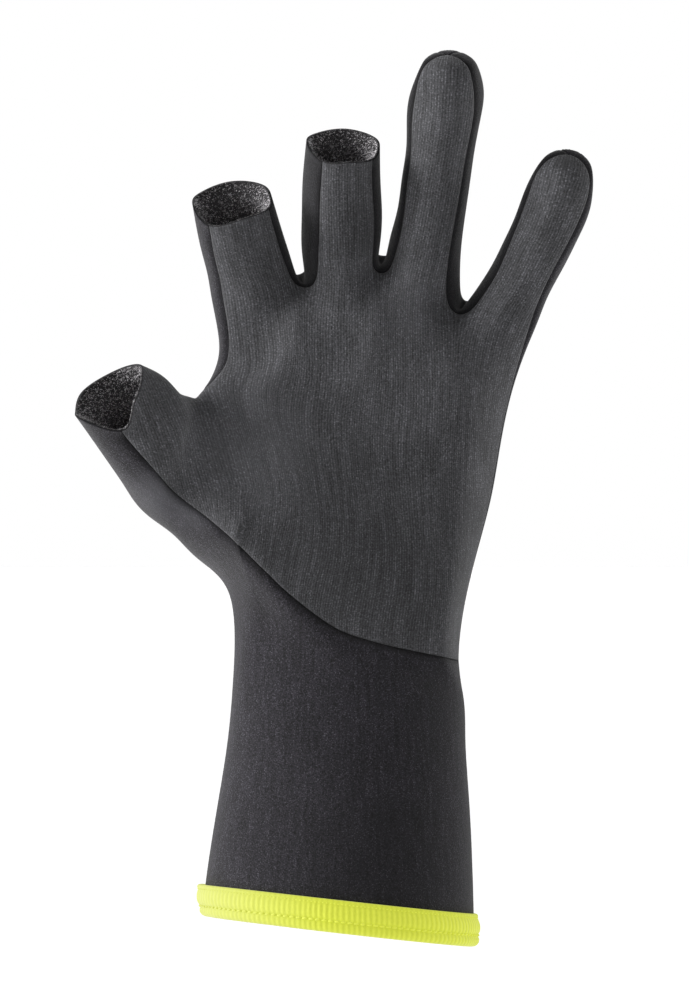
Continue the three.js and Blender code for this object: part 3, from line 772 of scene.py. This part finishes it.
class Skin:
    """The glove's outer face: fine points with outward directions, and quads at two levels."""

    def __init__(self):
        cage = build_cage()
        given = np.array([p + w for p, w in zip(cage.points, cage.weave)], float)
        columns = (np.array(column) for column in zip(*cage.quads))
        quads, self.panel, self.finger, self.row = columns
        fitted = given.copy()
        for _ in range(FIT_ROUNDS):
            fitted[:, :3] += (given - limit_points(fitted, quads))[:, :3]
        self.middles = []
        for level in range(FINE):
            if level == COARSE:
                self.coarse = quads
            fitted, quads, middle_of = subdivide(fitted, quads)
            self.middles.append(middle_of)
        self.quads = quads
        limit = limit_points(fitted, quads)
        self.points = limit[:, :3]
        self.weave = np.pad(limit[:, 3:], ((0, 0), (0, 1)))
        self.edges, self.side_edge, self.uses = edges_of(quads)
        self.palm_seam, self.other_seam = self.find_seams()
        self.round_seams()
        self.outward = self.normals(self.points)
        self.measure()

    def of(self, values, level):
        """A value given for each cage quad, for each quad of a level."""
        return np.repeat(values, 4**level)

    def normals(self, points):
        a, b, c, d = (points[self.quads[:, k]] for k in range(4))
        facing = np.cross(c - a, d - b)
        return unit(sums(len(points), self.quads, facing[:, None]))

    def find_seams(self):
        """Fine edges between two panels, those of the palm panel apart, and the points on them."""
        names, code = np.unique(self.of(self.panel, FINE), return_inverse=True)
        palm = names.tolist().index("palm_panel")
        low = np.full(len(self.edges), len(names))
        high = np.full(len(self.edges), -1)
        np.minimum.at(low, self.side_edge, code[:, None])
        np.maximum.at(high, self.side_edge, code[:, None])
        seam = low != high
        on_palm = seam & ((low == palm) | (high == palm))
        return self.edges[on_palm], self.edges[seam & ~on_palm]

    def round_seams(self):
        """Rounds the seams' corners within the smooth surface. The palm panel's outline leads."""
        surface = BVHTree.FromPolygons(self.points.tolist(), self.quads.tolist())
        share = np.zeros(len(self.points))
        for spot in SEAM_SPOTS:
            away = np.linalg.norm(self.points - spot["middle"], axis=1)
            share = np.maximum(share, np.clip((spot["reach"] - away) / SPOT_FADE, 0, 1) * spot["strength"])
        share[np.unique(self.edges[self.uses == 1])] = 0
        count = len(self.points)
        inner = share > 0
        touched = [edges[inner[edges].any(1)] for edges in (self.edges, self.other_seam, self.palm_seam)]
        points = self.points.copy()
        for _ in range(SEAM_ROUNDS):
            target = points.copy()
            for edges in touched:
                near = np.bincount(edges.ravel(), minlength=count)
                on = (near > 1) & inner
                target[on] = neighbour_sums(points, edges)[on] / near[on, None]
            points += (target - points) * share[:, None]
        for i in np.flatnonzero(inner):
            points[i] = surface.find_nearest(Vector(points[i]))[0]
        self.points = points

    def away_from(self, ids):
        """Distance of each point from the nearest of the given points."""
        tree = KDTree(len(ids))
        for k, i in enumerate(ids):
            tree.insert(self.points[i], k)
        tree.balance()
        return np.array([tree.find(p)[2] for p in self.points])

    def measure(self):
        """Distances from the palm panel's seam, from the other seams and from the open fingers' rims."""
        rims = np.unique(self.edges[self.uses == 1])
        mouths = rims[self.points[rims, 2] > MOUTHS_ABOVE]
        self.from_palm_seam = self.away_from(np.unique(self.palm_seam))
        self.from_other_seam = self.away_from(np.unique(self.other_seam))
        self.from_mouth = self.away_from(mouths)


class Wall:
    """A closed wall over some of the skin's quads, fine outside and coarse inside.

    The outer and inner depths under the skin are given for each point of the skin."""

    def __init__(self, skin, chosen, outer, inner):
        self.skin = skin
        inside = skin.of(chosen, FINE)
        self.fine = skin.quads[inside]
        self.used = np.unique(self.fine)
        _, side_edge, uses = edges_of(self.fine)
        on_rim = uses[side_edge] == 1
        self.rim = np.stack([self.fine[on_rim], np.roll(self.fine, -1, 1)[on_rim]], 1)
        self.rim_sides = {tuple(sorted(side)) for side in self.rim.tolist()}
        self.open = (skin.uses[skin.side_edge[inside]] == 1)[on_rim]
        self.coarse = [self.stepped(quad) for quad in skin.coarse[skin.of(chosen, COARSE)].tolist()]
        self.outer = skin.points + self.drawn_back(SEAM_HALF_GAP) - skin.outward * outer[:, None]
        self.inner = skin.points + self.drawn_back(SEAM_INNER_GAP) - skin.outward * inner[:, None]

    def stepped(self, quad):
        """A coarse quad with the fine rim's points put in along its sides on the rim."""
        corners = []
        for a, b in zip(quad, quad[1:] + quad[:1]):
            chain = [a, b]
            for middle_of in self.skin.middles[COARSE:]:
                finer = [chain[0]]
                for p, q in zip(chain, chain[1:]):
                    finer += [middle_of[(min(p, q), max(p, q))], q]
                chain = finer
            on_rim = all(tuple(sorted(side)) in self.rim_sides for side in zip(chain, chain[1:]))
            corners += chain[:-1] if on_rim else [a]
        return corners

    def drawn_back(self, distance):
        """How far each seam point moves into the wall, so that the next panel keeps clear."""
        points = self.skin.points
        seam = self.rim[~self.open]
        along = points[seam[:, 1]] - points[seam[:, 0]]
        inward = unit(np.cross(self.skin.outward[seam].sum(1), along))
        return unit(sums(len(points), seam, inward[:, None])) * distance


def add_object(name, data):
    piece = bpy.data.objects.new(name, data)
    bpy.context.scene.collection.objects.link(piece)
    return piece


def mesh_object(name, vertices, faces, materials, attributes, face_materials=None):
    mesh = bpy.data.meshes.new(name)
    mesh.from_pydata((np.asarray(vertices) * MM).tolist(), [], faces)
    for material in materials:
        mesh.materials.append(material)
    if face_materials is not None:
        mesh.polygons.foreach_set("material_index", face_materials)
    mesh.polygons.foreach_set("use_smooth", [True] * len(faces))
    for key, values in attributes.items():
        values = np.asarray(values, np.float32)
        kind, field = ("FLOAT_VECTOR", "vector") if values.ndim == 2 else ("FLOAT", "value")
        mesh.attributes.new(key, kind, "POINT").data.foreach_set(field, values.ravel())
    mesh.update()
    return add_object(name, mesh)


def wall_object(wall, name, materials, fields, fine_inside=False):
    """The wall as a closed mesh: outer faces, cut edge and inner faces have a material each.

    The fields are attributes with a value for each point of the skin."""
    inner_faces = wall.fine.tolist() if fine_inside else wall.coarse
    inner_used = np.unique([i for face in [*wall.rim.tolist(), *inner_faces] for i in face])

    def outer(ids):
        return np.searchsorted(wall.used, ids)

    def inner(ids):
        return len(wall.used) + np.searchsorted(inner_used, ids)

    a, b = wall.rim.T
    rim_faces = np.stack([outer(b), outer(a), inner(a), inner(b)], 1)
    faces = outer(wall.fine).tolist() + rim_faces.tolist()
    faces += [inner(face[::-1]).tolist() for face in inner_faces]
    slots = [0] * len(wall.fine) + [1] * len(rim_faces) + [2] * len(inner_faces)
    ids = np.concatenate([wall.used, inner_used])
    attributes = {key: values[ids] for key, values in fields.items()}
    vertices = np.concatenate([wall.outer[wall.used], wall.inner[inner_used]])
    return mesh_object(name, vertices, faces, materials, attributes, slots)


class Value:
    """A node's output, which can be linked to other nodes, added up and multiplied."""

    def __init__(self, made, output=0):
        self.socket = made.outputs[output]

    def math(self, operation, other=0.0):
        tree = self.socket.id_data
        return Value(node(tree, "ShaderNodeMath", {0: self, 1: other}, operation=operation))

    def __add__(self, other):
        return self.math("ADD", other)

    def __sub__(self, other):
        return self.math("SUBTRACT", other)

    def __mul__(self, other):
        return self.math("MULTIPLY", other)


def fill(made, inputs):
    """Links or sets the inputs of a node."""
    for key, value in inputs.items():
        if isinstance(value, Value):
            made.id_data.links.new(value.socket, made.inputs[key])
        else:
            made.inputs[key].default_value = value


def node(tree, kind, inputs, **settings):
    made = tree.nodes.new(kind)
    for key, value in settings.items():
        setattr(made, key, value)
    fill(made, inputs)
    return made


class Cloth:
    """A material whose colour and relief are worked out by nodes."""

    def __init__(self, name):
        self.name = name
        self.material = bpy.data.materials.new(name)
        self.material.use_nodes = True
        self.tree = self.material.node_tree
        self.shader = self.tree.nodes["Principled BSDF"]

    def value(self, kind, inputs=None, output=0, **settings):
        return Value(node(self.tree, kind, inputs or {}, **settings), output)

    def place(self):
        """Places in the glove's own space, in metres."""
        return self.value("ShaderNodeTexCoord", output="Object")

    def attribute(self, name, output="Fac"):
        return self.value("ShaderNodeAttribute", output=output, attribute_name=name)

    def split(self, vector):
        made = node(self.tree, "ShaderNodeSeparateXYZ", {0: vector})
        return [Value(made, axis) for axis in range(3)]

    def joined(self, *parts):
        return self.value("ShaderNodeCombineXYZ", dict(enumerate(parts)))

    def noise(self, place, scale, detail, roughness=0.5):
        inputs = {"Vector": place, "Scale": scale, "Detail": detail, "Roughness": roughness}
        return self.value("ShaderNodeTexNoise", inputs)

    def grain(self, scale, detail=2.0):
        """Noise in the glove's own space, with cells of about 1 / scale metres."""
        return self.noise(self.place(), scale, detail, GRAIN_ROUGHNESS)

    def dots(self, place, scale, stray):
        """Light dots that stray from an even lattice, each with its own brightness."""
        inputs = {"Vector": place, "Scale": scale, "Randomness": stray}
        cells = node(self.tree, "ShaderNodeTexVoronoi", inputs)
        bright = self.value("ShaderNodeSeparateColor", {0: Value(cells, "Color")})
        return (Value(cells, "Distance") * -1.5 + 1.0) * (bright * 0.9 + 0.4)

    def ramp(self, value, name):
        """The colours of the named cloth."""
        stops = COLORS[name]
        made = node(self.tree, "ShaderNodeValToRGB", {"Fac": value})
        elements = made.color_ramp.elements
        while len(elements) < len(stops):
            elements.new(0.5)
        for element, (place, color) in zip(elements, stops):
            element.position = place
            element.color = (*color, 1.0)
        return Value(made)

    def mixed(self, color, share, other):
        """The colour drawn toward another one by a share."""
        if not isinstance(other, Value):
            other = (*other, 1.0)
        inputs = {"Factor": share, "A": color, "B": other}
        return self.value("ShaderNodeMix", inputs, "Result", data_type="RGBA")

    def painted_light_and_shade(self, color, areas):
        """The colour with broad soft areas of painted shade and painted light mixed into it."""
        place = self.place()
        for area in areas:
            middle = [v * MM for v in area["middle"]]
            away = self.value(
                "ShaderNodeVectorMath", {0: place, 1: middle}, "Value", operation="DISTANCE"
            )
            inputs = {"Value": away, "From Max": area["reach"] * MM, "To Min": area["share"], "To Max": 0.0}
            share = self.value("ShaderNodeMapRange", inputs, interpolation_type="SMOOTHSTEP")
            shade = srgb(area["level"], area["level"], area["level"] * COOL)
            color = self.mixed(color, share, shade)
        return color

    def shadowed_beside_seam(self, color, share):
        """The colour, with painted shade beside the palm panel's seam."""
        return self.mixed(color, self.attribute("seam") * share, SEAM_SHADOW_COLORS[self.name])

    def finished(self, color, relief):
        depth, roughness, sheen = FINISHES[self.name]
        bump = self.value("ShaderNodeBump", {"Height": relief, "Distance": depth})
        inputs = {"Base Color": color, "Normal": bump, "Roughness": roughness, "Sheen Weight": sheen}
        fill(self.shader, {**inputs, "Specular IOR Level": CLOTH_SPECULAR})
        return self.material


def palm_knit():
    """Grey ribbed knit: fine upright ribs crossed by courses, with light stitches along them."""
    cloth = Cloth("palm_knit")
    across, along, _ = cloth.split(cloth.attribute("weave", "Vector"))
    across += (cloth.grain(260) - 0.5) * RIB_WANDER
    rib = (across * (2 * math.pi / RIB_PITCH)).math("COSINE") * 0.5 + 0.5
    lattice = cloth.joined(across * (1 / STITCH_PITCH), along * (1 / COURSE_PITCH))
    stitches = cloth.dots(lattice, 1.0, STITCH_STRAY)
    streaks = cloth.joined(across * (1 / STREAK_WIDTH), along * (1 / STREAK_LENGTH))
    relief = rib * RIB_RELIEF + stitches * STITCH_RELIEF
    speck = (cloth.grain(2200) - 0.4) * KNIT_SPECK_LIGHT
    patch = (cloth.grain(70, 1) - 0.5) * PATCH_LIGHT
    streak = cloth.noise(streaks, 1.0, 1.0) * STREAK_LIGHT
    level = relief * KNIT_LIGHT + speck + patch + streak
    # Broad painted shade and painted light over the knit
    color = cloth.painted_light_and_shade(cloth.ramp(level, cloth.name), PALM_PAINTED_LIGHT_AND_SHADE)
    return cloth.finished(cloth.shadowed_beside_seam(color, KNIT_SEAM_SHADOW), relief + speck * SPECK_RELIEF)


def jersey(name):
    """Smooth jersey on neoprene: faint upright rows and a fine mottled grain with light fibres."""
    cloth = Cloth(name)
    place = cloth.place()
    stitches = cloth.dots(place, 1000 / JERSEY_PITCH, 1.0)
    x, y, z = cloth.split(place)
    around = y.math("ARCTAN2", x) * (ROW_RADIUS / ROW_PITCH)
    rows = cloth.noise(cloth.joined(around, z * (1000 / ROW_LENGTH)), 1.0, 1.0)
    speck = (cloth.grain(2400) - 0.3) * JERSEY_SPECK_LIGHT
    level = stitches * JERSEY_LIGHT + cloth.grain(45, 3) * CLOUD_LIGHT + speck + rows * ROW_LIGHT
    # Broad painted shade and painted light over the jersey
    color = cloth.painted_light_and_shade(cloth.ramp(level, name), JERSEY_PAINTED_LIGHT_AND_SHADE)
    relief = stitches * JERSEY_RELIEF + rows * ROW_RELIEF
    return cloth.finished(cloth.shadowed_beside_seam(color, JERSEY_SEAM_SHADOW), relief)


def plain(name, scale, detail):
    """A dark surface with nothing but its grain."""
    cloth = Cloth(name)
    pores = cloth.grain(scale, detail)
    return cloth.finished(cloth.ramp(pores, name), pores)


def fleece():
    """Short black fleece with a scatter of light fibre ends, painted lighter deep inside a finger as
    painted light against the shade there.
    """
    cloth = Cloth("fleece_lining")
    clumps = cloth.grain(900, 4)
    level = cloth.attribute("tint") * TINT_LIGHT + clumps * CLUMP_LIGHT - FLEECE_DARK
    near = cloth.ramp(level, "fleece_lining")
    # Painted light: drawn toward lighter colours deeper inside the finger
    color = cloth.mixed(near, cloth.attribute("deep"), cloth.ramp(level, "fleece_deep"))
    return cloth.finished(color, clumps)


def hem_band():
    """Yellow-green ribbed binding, painted paler toward the thumb side where the key light falls, and
    painted light as a glow over all of it.
    """
    cloth = Cloth("hem_band")
    side = cloth.split(cloth.place())[0]
    # Painted light: the hem is paler toward the thumb side, where the key light falls
    limits = {"From Min": HEM_LIT_SIDE_SPAN[0] * MM, "From Max": HEM_LIT_SIDE_SPAN[1] * MM}
    lit_side = cloth.value("ShaderNodeMapRange", {"Value": side, **limits, "To Min": 1.0, "To Max": 0.0})
    upright = cloth.value("ShaderNodeMapping", {"Vector": cloth.place(), "Scale": HEM_FIBRE})
    fibre = cloth.noise(upright, 2200, 3, GRAIN_ROUGHNESS)
    # Painted shade: darker in the valleys between the ribs
    level = fibre * FIBRE_LIGHT + cloth.attribute("rib") * HEM_RIB_PAINTED_SHADE
    color = cloth.mixed(cloth.ramp(level, "hem_band"), lit_side * HEM_LIT_SIDE_SHARE, HEM_LIT_SIDE)
    # Painted light: the band glows, though it is no lamp
    fill(cloth.shader, {"Emission Color": (*HEM_PAINTED_GLOW, 1.0), "Emission Strength": 1.0})
    return cloth.finished(color, fibre)


class Rim:
    """The cuff's lower rim as one closed line."""

    def __init__(self, skin):
        in_cuff = skin.of(skin.finger, FINE) == "cuff"
        on_rim = (skin.uses[skin.side_edge] == 1) & in_cuff[:, None]
        ends = np.roll(skin.quads, -1, 1)
        follow = dict(zip(skin.quads[on_rim].tolist(), ends[on_rim].tolist()))
        loop = [min(follow)]
        while follow[loop[-1]] != loop[0]:
            loop.append(follow[loop[-1]])
        loop.append(loop[0])
        self.points = skin.points[loop]
        self.outward = skin.outward[loop]
        lengths = np.linalg.norm(np.diff(self.points, axis=0), axis=1)
        self.places = np.concatenate([[0], np.cumsum(lengths)])
        self.length = self.places[-1]


class HemLoop:
    """Even steps along the rim, with the directions along it, up the cuff and out of it."""

    def __init__(self, rim, steps):
        self.place = np.arange(steps) * rim.length / steps

        def even(values):
            return np.stack([np.interp(self.place, rim.places, values[:, k]) for k in range(3)], 1)

        self.points = even(rim.points)
        along = np.roll(self.points, -1, 0) - np.roll(self.points, 1, 0)
        self.along = unit(along)
        self.up = unit(np.cross(even(rim.outward), self.along))
        self.out = np.cross(self.along, self.up)


def hem_binding(rim, material):
    loop = HemLoop(rim, HEM_STEPS)
    rng = np.random.default_rng(HEM_SEED)

    def uneven(low, high, count):
        """Wanders along the rim between two limits."""
        values = np.resize(rng.uniform(low, high, count - 1), count)
        return np.interp(loop.place, np.linspace(0, rim.length, count), values, period=rim.length)

    ribs = round(rim.length / HEM_RIB_PITCH)
    turn = 2 * math.pi * ribs * loop.place / rim.length + uneven(*HEM_STRAY)
    strength = uneven(*HEM_STRENGTH)
    rows = []
    painted_rib_light = []
    for p in HEM_SECTION:
        rib = 0.5 + 0.5 * np.cos(turn + HEM_RIB_SLANT * math.pi * p["up"])
        facing = 1 if p["out"] > -1 else -1
        lift = HEM_RIB_HEIGHT * p["ribs"] * strength * (rib - 0.5) * facing
        rows.append(loop.points + loop.up * p["up"] + loop.out * (p["out"] + lift)[:, None])
        # Painted shade for the hem's colour: full on a rib's crest, darker toward its valleys
        painted_rib_light.append(rib * p["ribs"])
    size = len(HEM_SECTION)
    vertices = np.stack(rows, 1).reshape(-1, 3)
    here = np.arange(HEM_STEPS)[:, None] * size + np.arange(size)
    there = np.roll(here, -1, 0)
    faces = np.stack([here, np.roll(here, -1, 1), np.roll(there, -1, 1), there], 2).reshape(-1, 4)
    shade = np.stack(painted_rib_light, 1).ravel()
    return mesh_object("hem_binding", vertices, faces.tolist(), [material], {"rib": shade})


def stitch_faces():
    """Faces of one stitch: bands round it from end to end, and a fan at each end."""
    faces = []
    low = len(STITCH_BANDS) * STITCH_SIDES
    last = low - STITCH_SIDES
    for a in range(STITCH_SIDES):
        b = (a + 1) % STITCH_SIDES
        for here in range(0, last, STITCH_SIDES):
            there = here + STITCH_SIDES
            faces.append((here + b, here + a, there + a, there + b))
        faces += [(a, b, low), (last + b, last + a, low + 1)]
    return faces


def stitch_row(rim, row, material):
    """A row of short raised stitches round the hem binding, joined in one mesh."""
    loop = HemLoop(rim, round(rim.length / row["pitch"]))
    centres = loop.points + loop.up * row["up"] + loop.out * row["out"]
    way = unit(loop.along + loop.up * row["slant"])
    along = way * row["length"]
    across = np.cross(loop.out, way)
    points = []
    for place, size in STITCH_BANDS:
        for side in range(STITCH_SIDES):
            turn = 2 * math.pi * side / STITCH_SIDES
            offset = math.cos(turn) * across + math.sin(turn) * loop.out
            points.append(centres + along * place + offset * row["radius"] * size)
    points += [centres - along / 2, centres + along / 2]
    vertices = np.stack(points, 1).reshape(-1, 3)
    firsts = range(0, len(vertices), len(points))
    faces = [[first + i for i in face] for first in firsts for face in stitch_faces()]
    return mesh_object(row["name"], vertices, faces, [material], {"rib": np.ones(len(vertices))})


def spikes(feet, tips, width, rng):
    """Slim three-sided spikes from their feet to their tips, as vertices and triangles."""
    count = len(feet)
    axis = tips - feet
    side = unit(np.cross(axis, rng.normal(0, 1, (count, 3))))
    other = unit(np.cross(axis, side))
    turns = (0, 2 * math.pi / 3, 4 * math.pi / 3)
    corners = [feet + width * (math.cos(t) * side + math.sin(t) * other) for t in turns]
    vertices = np.stack([*corners, tips], 1).reshape(-1, 3)
    first = np.arange(count)[:, None] * 4
    faces = [first + np.array(face) for face in ((0, 1, 3), (1, 2, 3), (2, 0, 3), (0, 2, 1))]
    return vertices, np.stack(faces, 1).reshape(-1, 3)


def fleece_pile(wall, name, material, count, rarity):
    """Fibre tufts on a lining's inner face, and a fringe of them on its rim at the finger's mouth."""
    skin = wall.skin
    rng = np.random.default_rng(PILE_SEED)
    chosen = wall.fine[rng.integers(0, len(wall.fine), count)]
    share = rng.uniform(0, 1, (count, 2))
    a, b, c, d = (wall.inner[chosen[:, k]] for k in range(4))
    out = unit(skin.outward[chosen].mean(1))
    foot = lerp(lerp(a, b, share[:, :1]), lerp(d, c, share[:, :1]), share[:, 1:]) + out * PILE_ROOT
    lean = rng.normal(0, PILE_LEAN, (count, 3)) * rng.uniform(0.2, 0.6, (count, 1))
    tip = foot - out * (PILE_ROOT + rng.uniform(*PILE_HEIGHT, (count, 1))) + lean
    deep = skin.from_mouth[chosen[:, 0]]

    rim = wall.rim[wall.open]
    fringe = count // FRINGE_SHARE
    sides = rim[rng.integers(0, len(rim), fringe)]
    place = rng.uniform(0, 1, (fringe, 1))
    over = rng.uniform(0.1, 0.9, (fringe, 1))
    outer = lerp(wall.outer[sides[:, 0]], wall.outer[sides[:, 1]], place)
    inner = lerp(wall.inner[sides[:, 0]], wall.inner[sides[:, 1]], place)
    along = skin.points[sides[:, 1]] - skin.points[sides[:, 0]]
    ahead = unit(np.cross(along, skin.outward[sides].sum(1)))
    rim_foot = lerp(outer, inner, over) - ahead * PILE_ROOT
    rim_lean = rng.normal(0, FRINGE_LEAN, (fringe, 3))
    rim_tip = rim_foot + ahead * (PILE_ROOT + rng.uniform(*FRINGE_HEIGHT, (fringe, 1))) + rim_lean

    feet = np.concatenate([foot, rim_foot])
    tips = np.concatenate([tip, rim_tip])
    width = rng.uniform(*PILE_WIDTH, (len(feet), 1))
    vertices, faces = spikes(feet, tips, width, rng)
    bright = rng.uniform(0, 1, len(feet)) ** rarity
    bright[count:] *= FRINGE_LIGHT
    # How far each tuft is painted lighter, deep in the finger
    reach = smooth(np.concatenate([deep, np.zeros(fringe)]) / FLEECE_PAINTED_LIGHT_DEPTH)
    attributes = {"tint": np.repeat(bright, 4), "deep": np.repeat(reach, 4)}
    return mesh_object(name, vertices, faces.tolist(), [material], attributes)


def adopt(piece, slot, *nodes):
    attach(piece, "root")
    if nodes:
        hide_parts(*nodes)


def falloff(distance, reach):
    return np.exp(-((distance / reach) ** 2))


def build_panels(skin, taper):
    # The strips between the fingers wear a darker copy of the jersey, painted shade for the fingers' shade
    clothes = (palm_knit(), jersey("jersey_neoprene"), jersey("side_strip"))
    edge = plain("foam_edge", 2600, 2)
    inside = plain("inner_jersey", 1300, 4)
    for form, cloth in zip(SEAM_FORM, clothes):
        sink = form["palmDepth"] * falloff(skin.from_palm_seam, form["palmReach"])
        sink += form["otherDepth"] * falloff(skin.from_other_seam, form["otherReach"])
        # seam: painted shade beside the palm panel's seam, strongest at the seam
        fields = {"weave": skin.weave, "seam": falloff(skin.from_palm_seam, form["shade"])}
        for name in form["panels"]:
            wall = Wall(skin, skin.panel == name, sink * taper, lerp(RIM_WALL, PANEL_WALL, taper))
            piece = wall_object(wall, name + "_cloth", [cloth, edge, inside], fields)
            adopt(piece, form["slot"], name)


def build_linings(skin, taper):
    fluff = fleece()
    start = lerp(RIM_WALL, PANEL_WALL, taper) + LINING_GAP
    thickness = lerp(RIM_LINING, LINING_WALL, taper)
    # deep: how far the lining is painted lighter, deep in the finger
    fields = {"deep": smooth(skin.from_mouth / FLEECE_PAINTED_LIGHT_DEPTH)}
    for row in LININGS:
        chosen = (skin.finger == row["finger"]) & (skin.row >= row["row"])
        wall = Wall(skin, chosen, start, start + thickness)
        name = row["finger"] + "_lining"
        lining = wall_object(wall, name + "_cloth", [fluff] * 3, fields, fine_inside=True)
        adopt(lining, "fleece_lining", name)
        pile = fleece_pile(wall, name + "_pile", fluff, row["tufts"], row["rarity"])
        adopt(pile, "fleece_lining")


def build_glove():
    skin = Skin()
    taper = smooth(skin.from_mouth / RIM_TAPER)
    build_panels(skin, taper)
    build_linings(skin, taper)
    lime = hem_band()
    rim = Rim(skin)
    adopt(hem_binding(rim, lime), "hem_band", "hem_binding")
    for row in STITCH_ROWS:
        adopt(stitch_row(rim, row, lime), "hem_band")


def add_camera():
    data = bpy.data.cameras.new("camera")
    data.sensor_width = 36.0
    data.lens = data.sensor_width * CAMERA_DISTANCE / FRAME_HEIGHT
    data.clip_end = 200.0
    camera = add_object("camera", data)
    camera.location = Vector((FRAME_MIDDLE[0], FRAME_DEPTH - CAMERA_DISTANCE, FRAME_MIDDLE[1])) * MM
    camera.rotation_euler = (math.pi / 2, 0, 0)
    bpy.context.scene.camera = camera


def add_floor():
    paint = Cloth("floor")
    inputs = {"Base Color": (0.95, 0.95, 0.95, 1), "Roughness": 1.0, "Specular IOR Level": 0.0}
    fill(paint.shader, {**inputs, "Emission Color": (1, 1, 1, 1), "Emission Strength": FLOOR_GLOW})
    sides = [(-1, -1), (1, -1), (1, 1), (-1, 1)]
    corners = [(x * FLOOR_HALF, y * FLOOR_HALF, FLOOR_LEVEL) for x, y in sides]
    piece = mesh_object("floor", corners, [(0, 1, 2, 3)], [paint.material], {})


def add_lights():
    """Soft suns from all round, and a white world that lights the glove less than it shows."""
    for sun in SUNS:
        data = bpy.data.lights.new(sun["name"], "SUN")
        data.energy = sun["strength"]
        data.angle = math.radians(sun["angle"])
        turn = Vector(sun["toward"]).to_track_quat("Z", "Y").to_euler()
        add_object(sun["name"], data).rotation_euler = turn

    world = bpy.data.worlds.new("studio")
    bpy.context.scene.world = world
    world.use_nodes = True
    tree = world.node_tree
    tree.nodes.clear()
    white = (1, 1, 1, 1)
    ambient = Value(node(tree, "ShaderNodeBackground", {"Color": white, "Strength": AMBIENT}))
    backdrop = Value(node(tree, "ShaderNodeBackground", {"Color": white, "Strength": 1.0}))
    seen = Value(node(tree, "ShaderNodeLightPath", {}), "Is Camera Ray")
    mixed = Value(node(tree, "ShaderNodeMixShader", {0: seen, 1: ambient, 2: backdrop}))
    node(tree, "ShaderNodeOutputWorld", {0: mixed})
    bpy.context.scene.view_settings.view_transform = "Standard"
    bpy.context.scene.view_settings.look = "None"


build_glove()
add_camera()
add_floor()
add_lights()
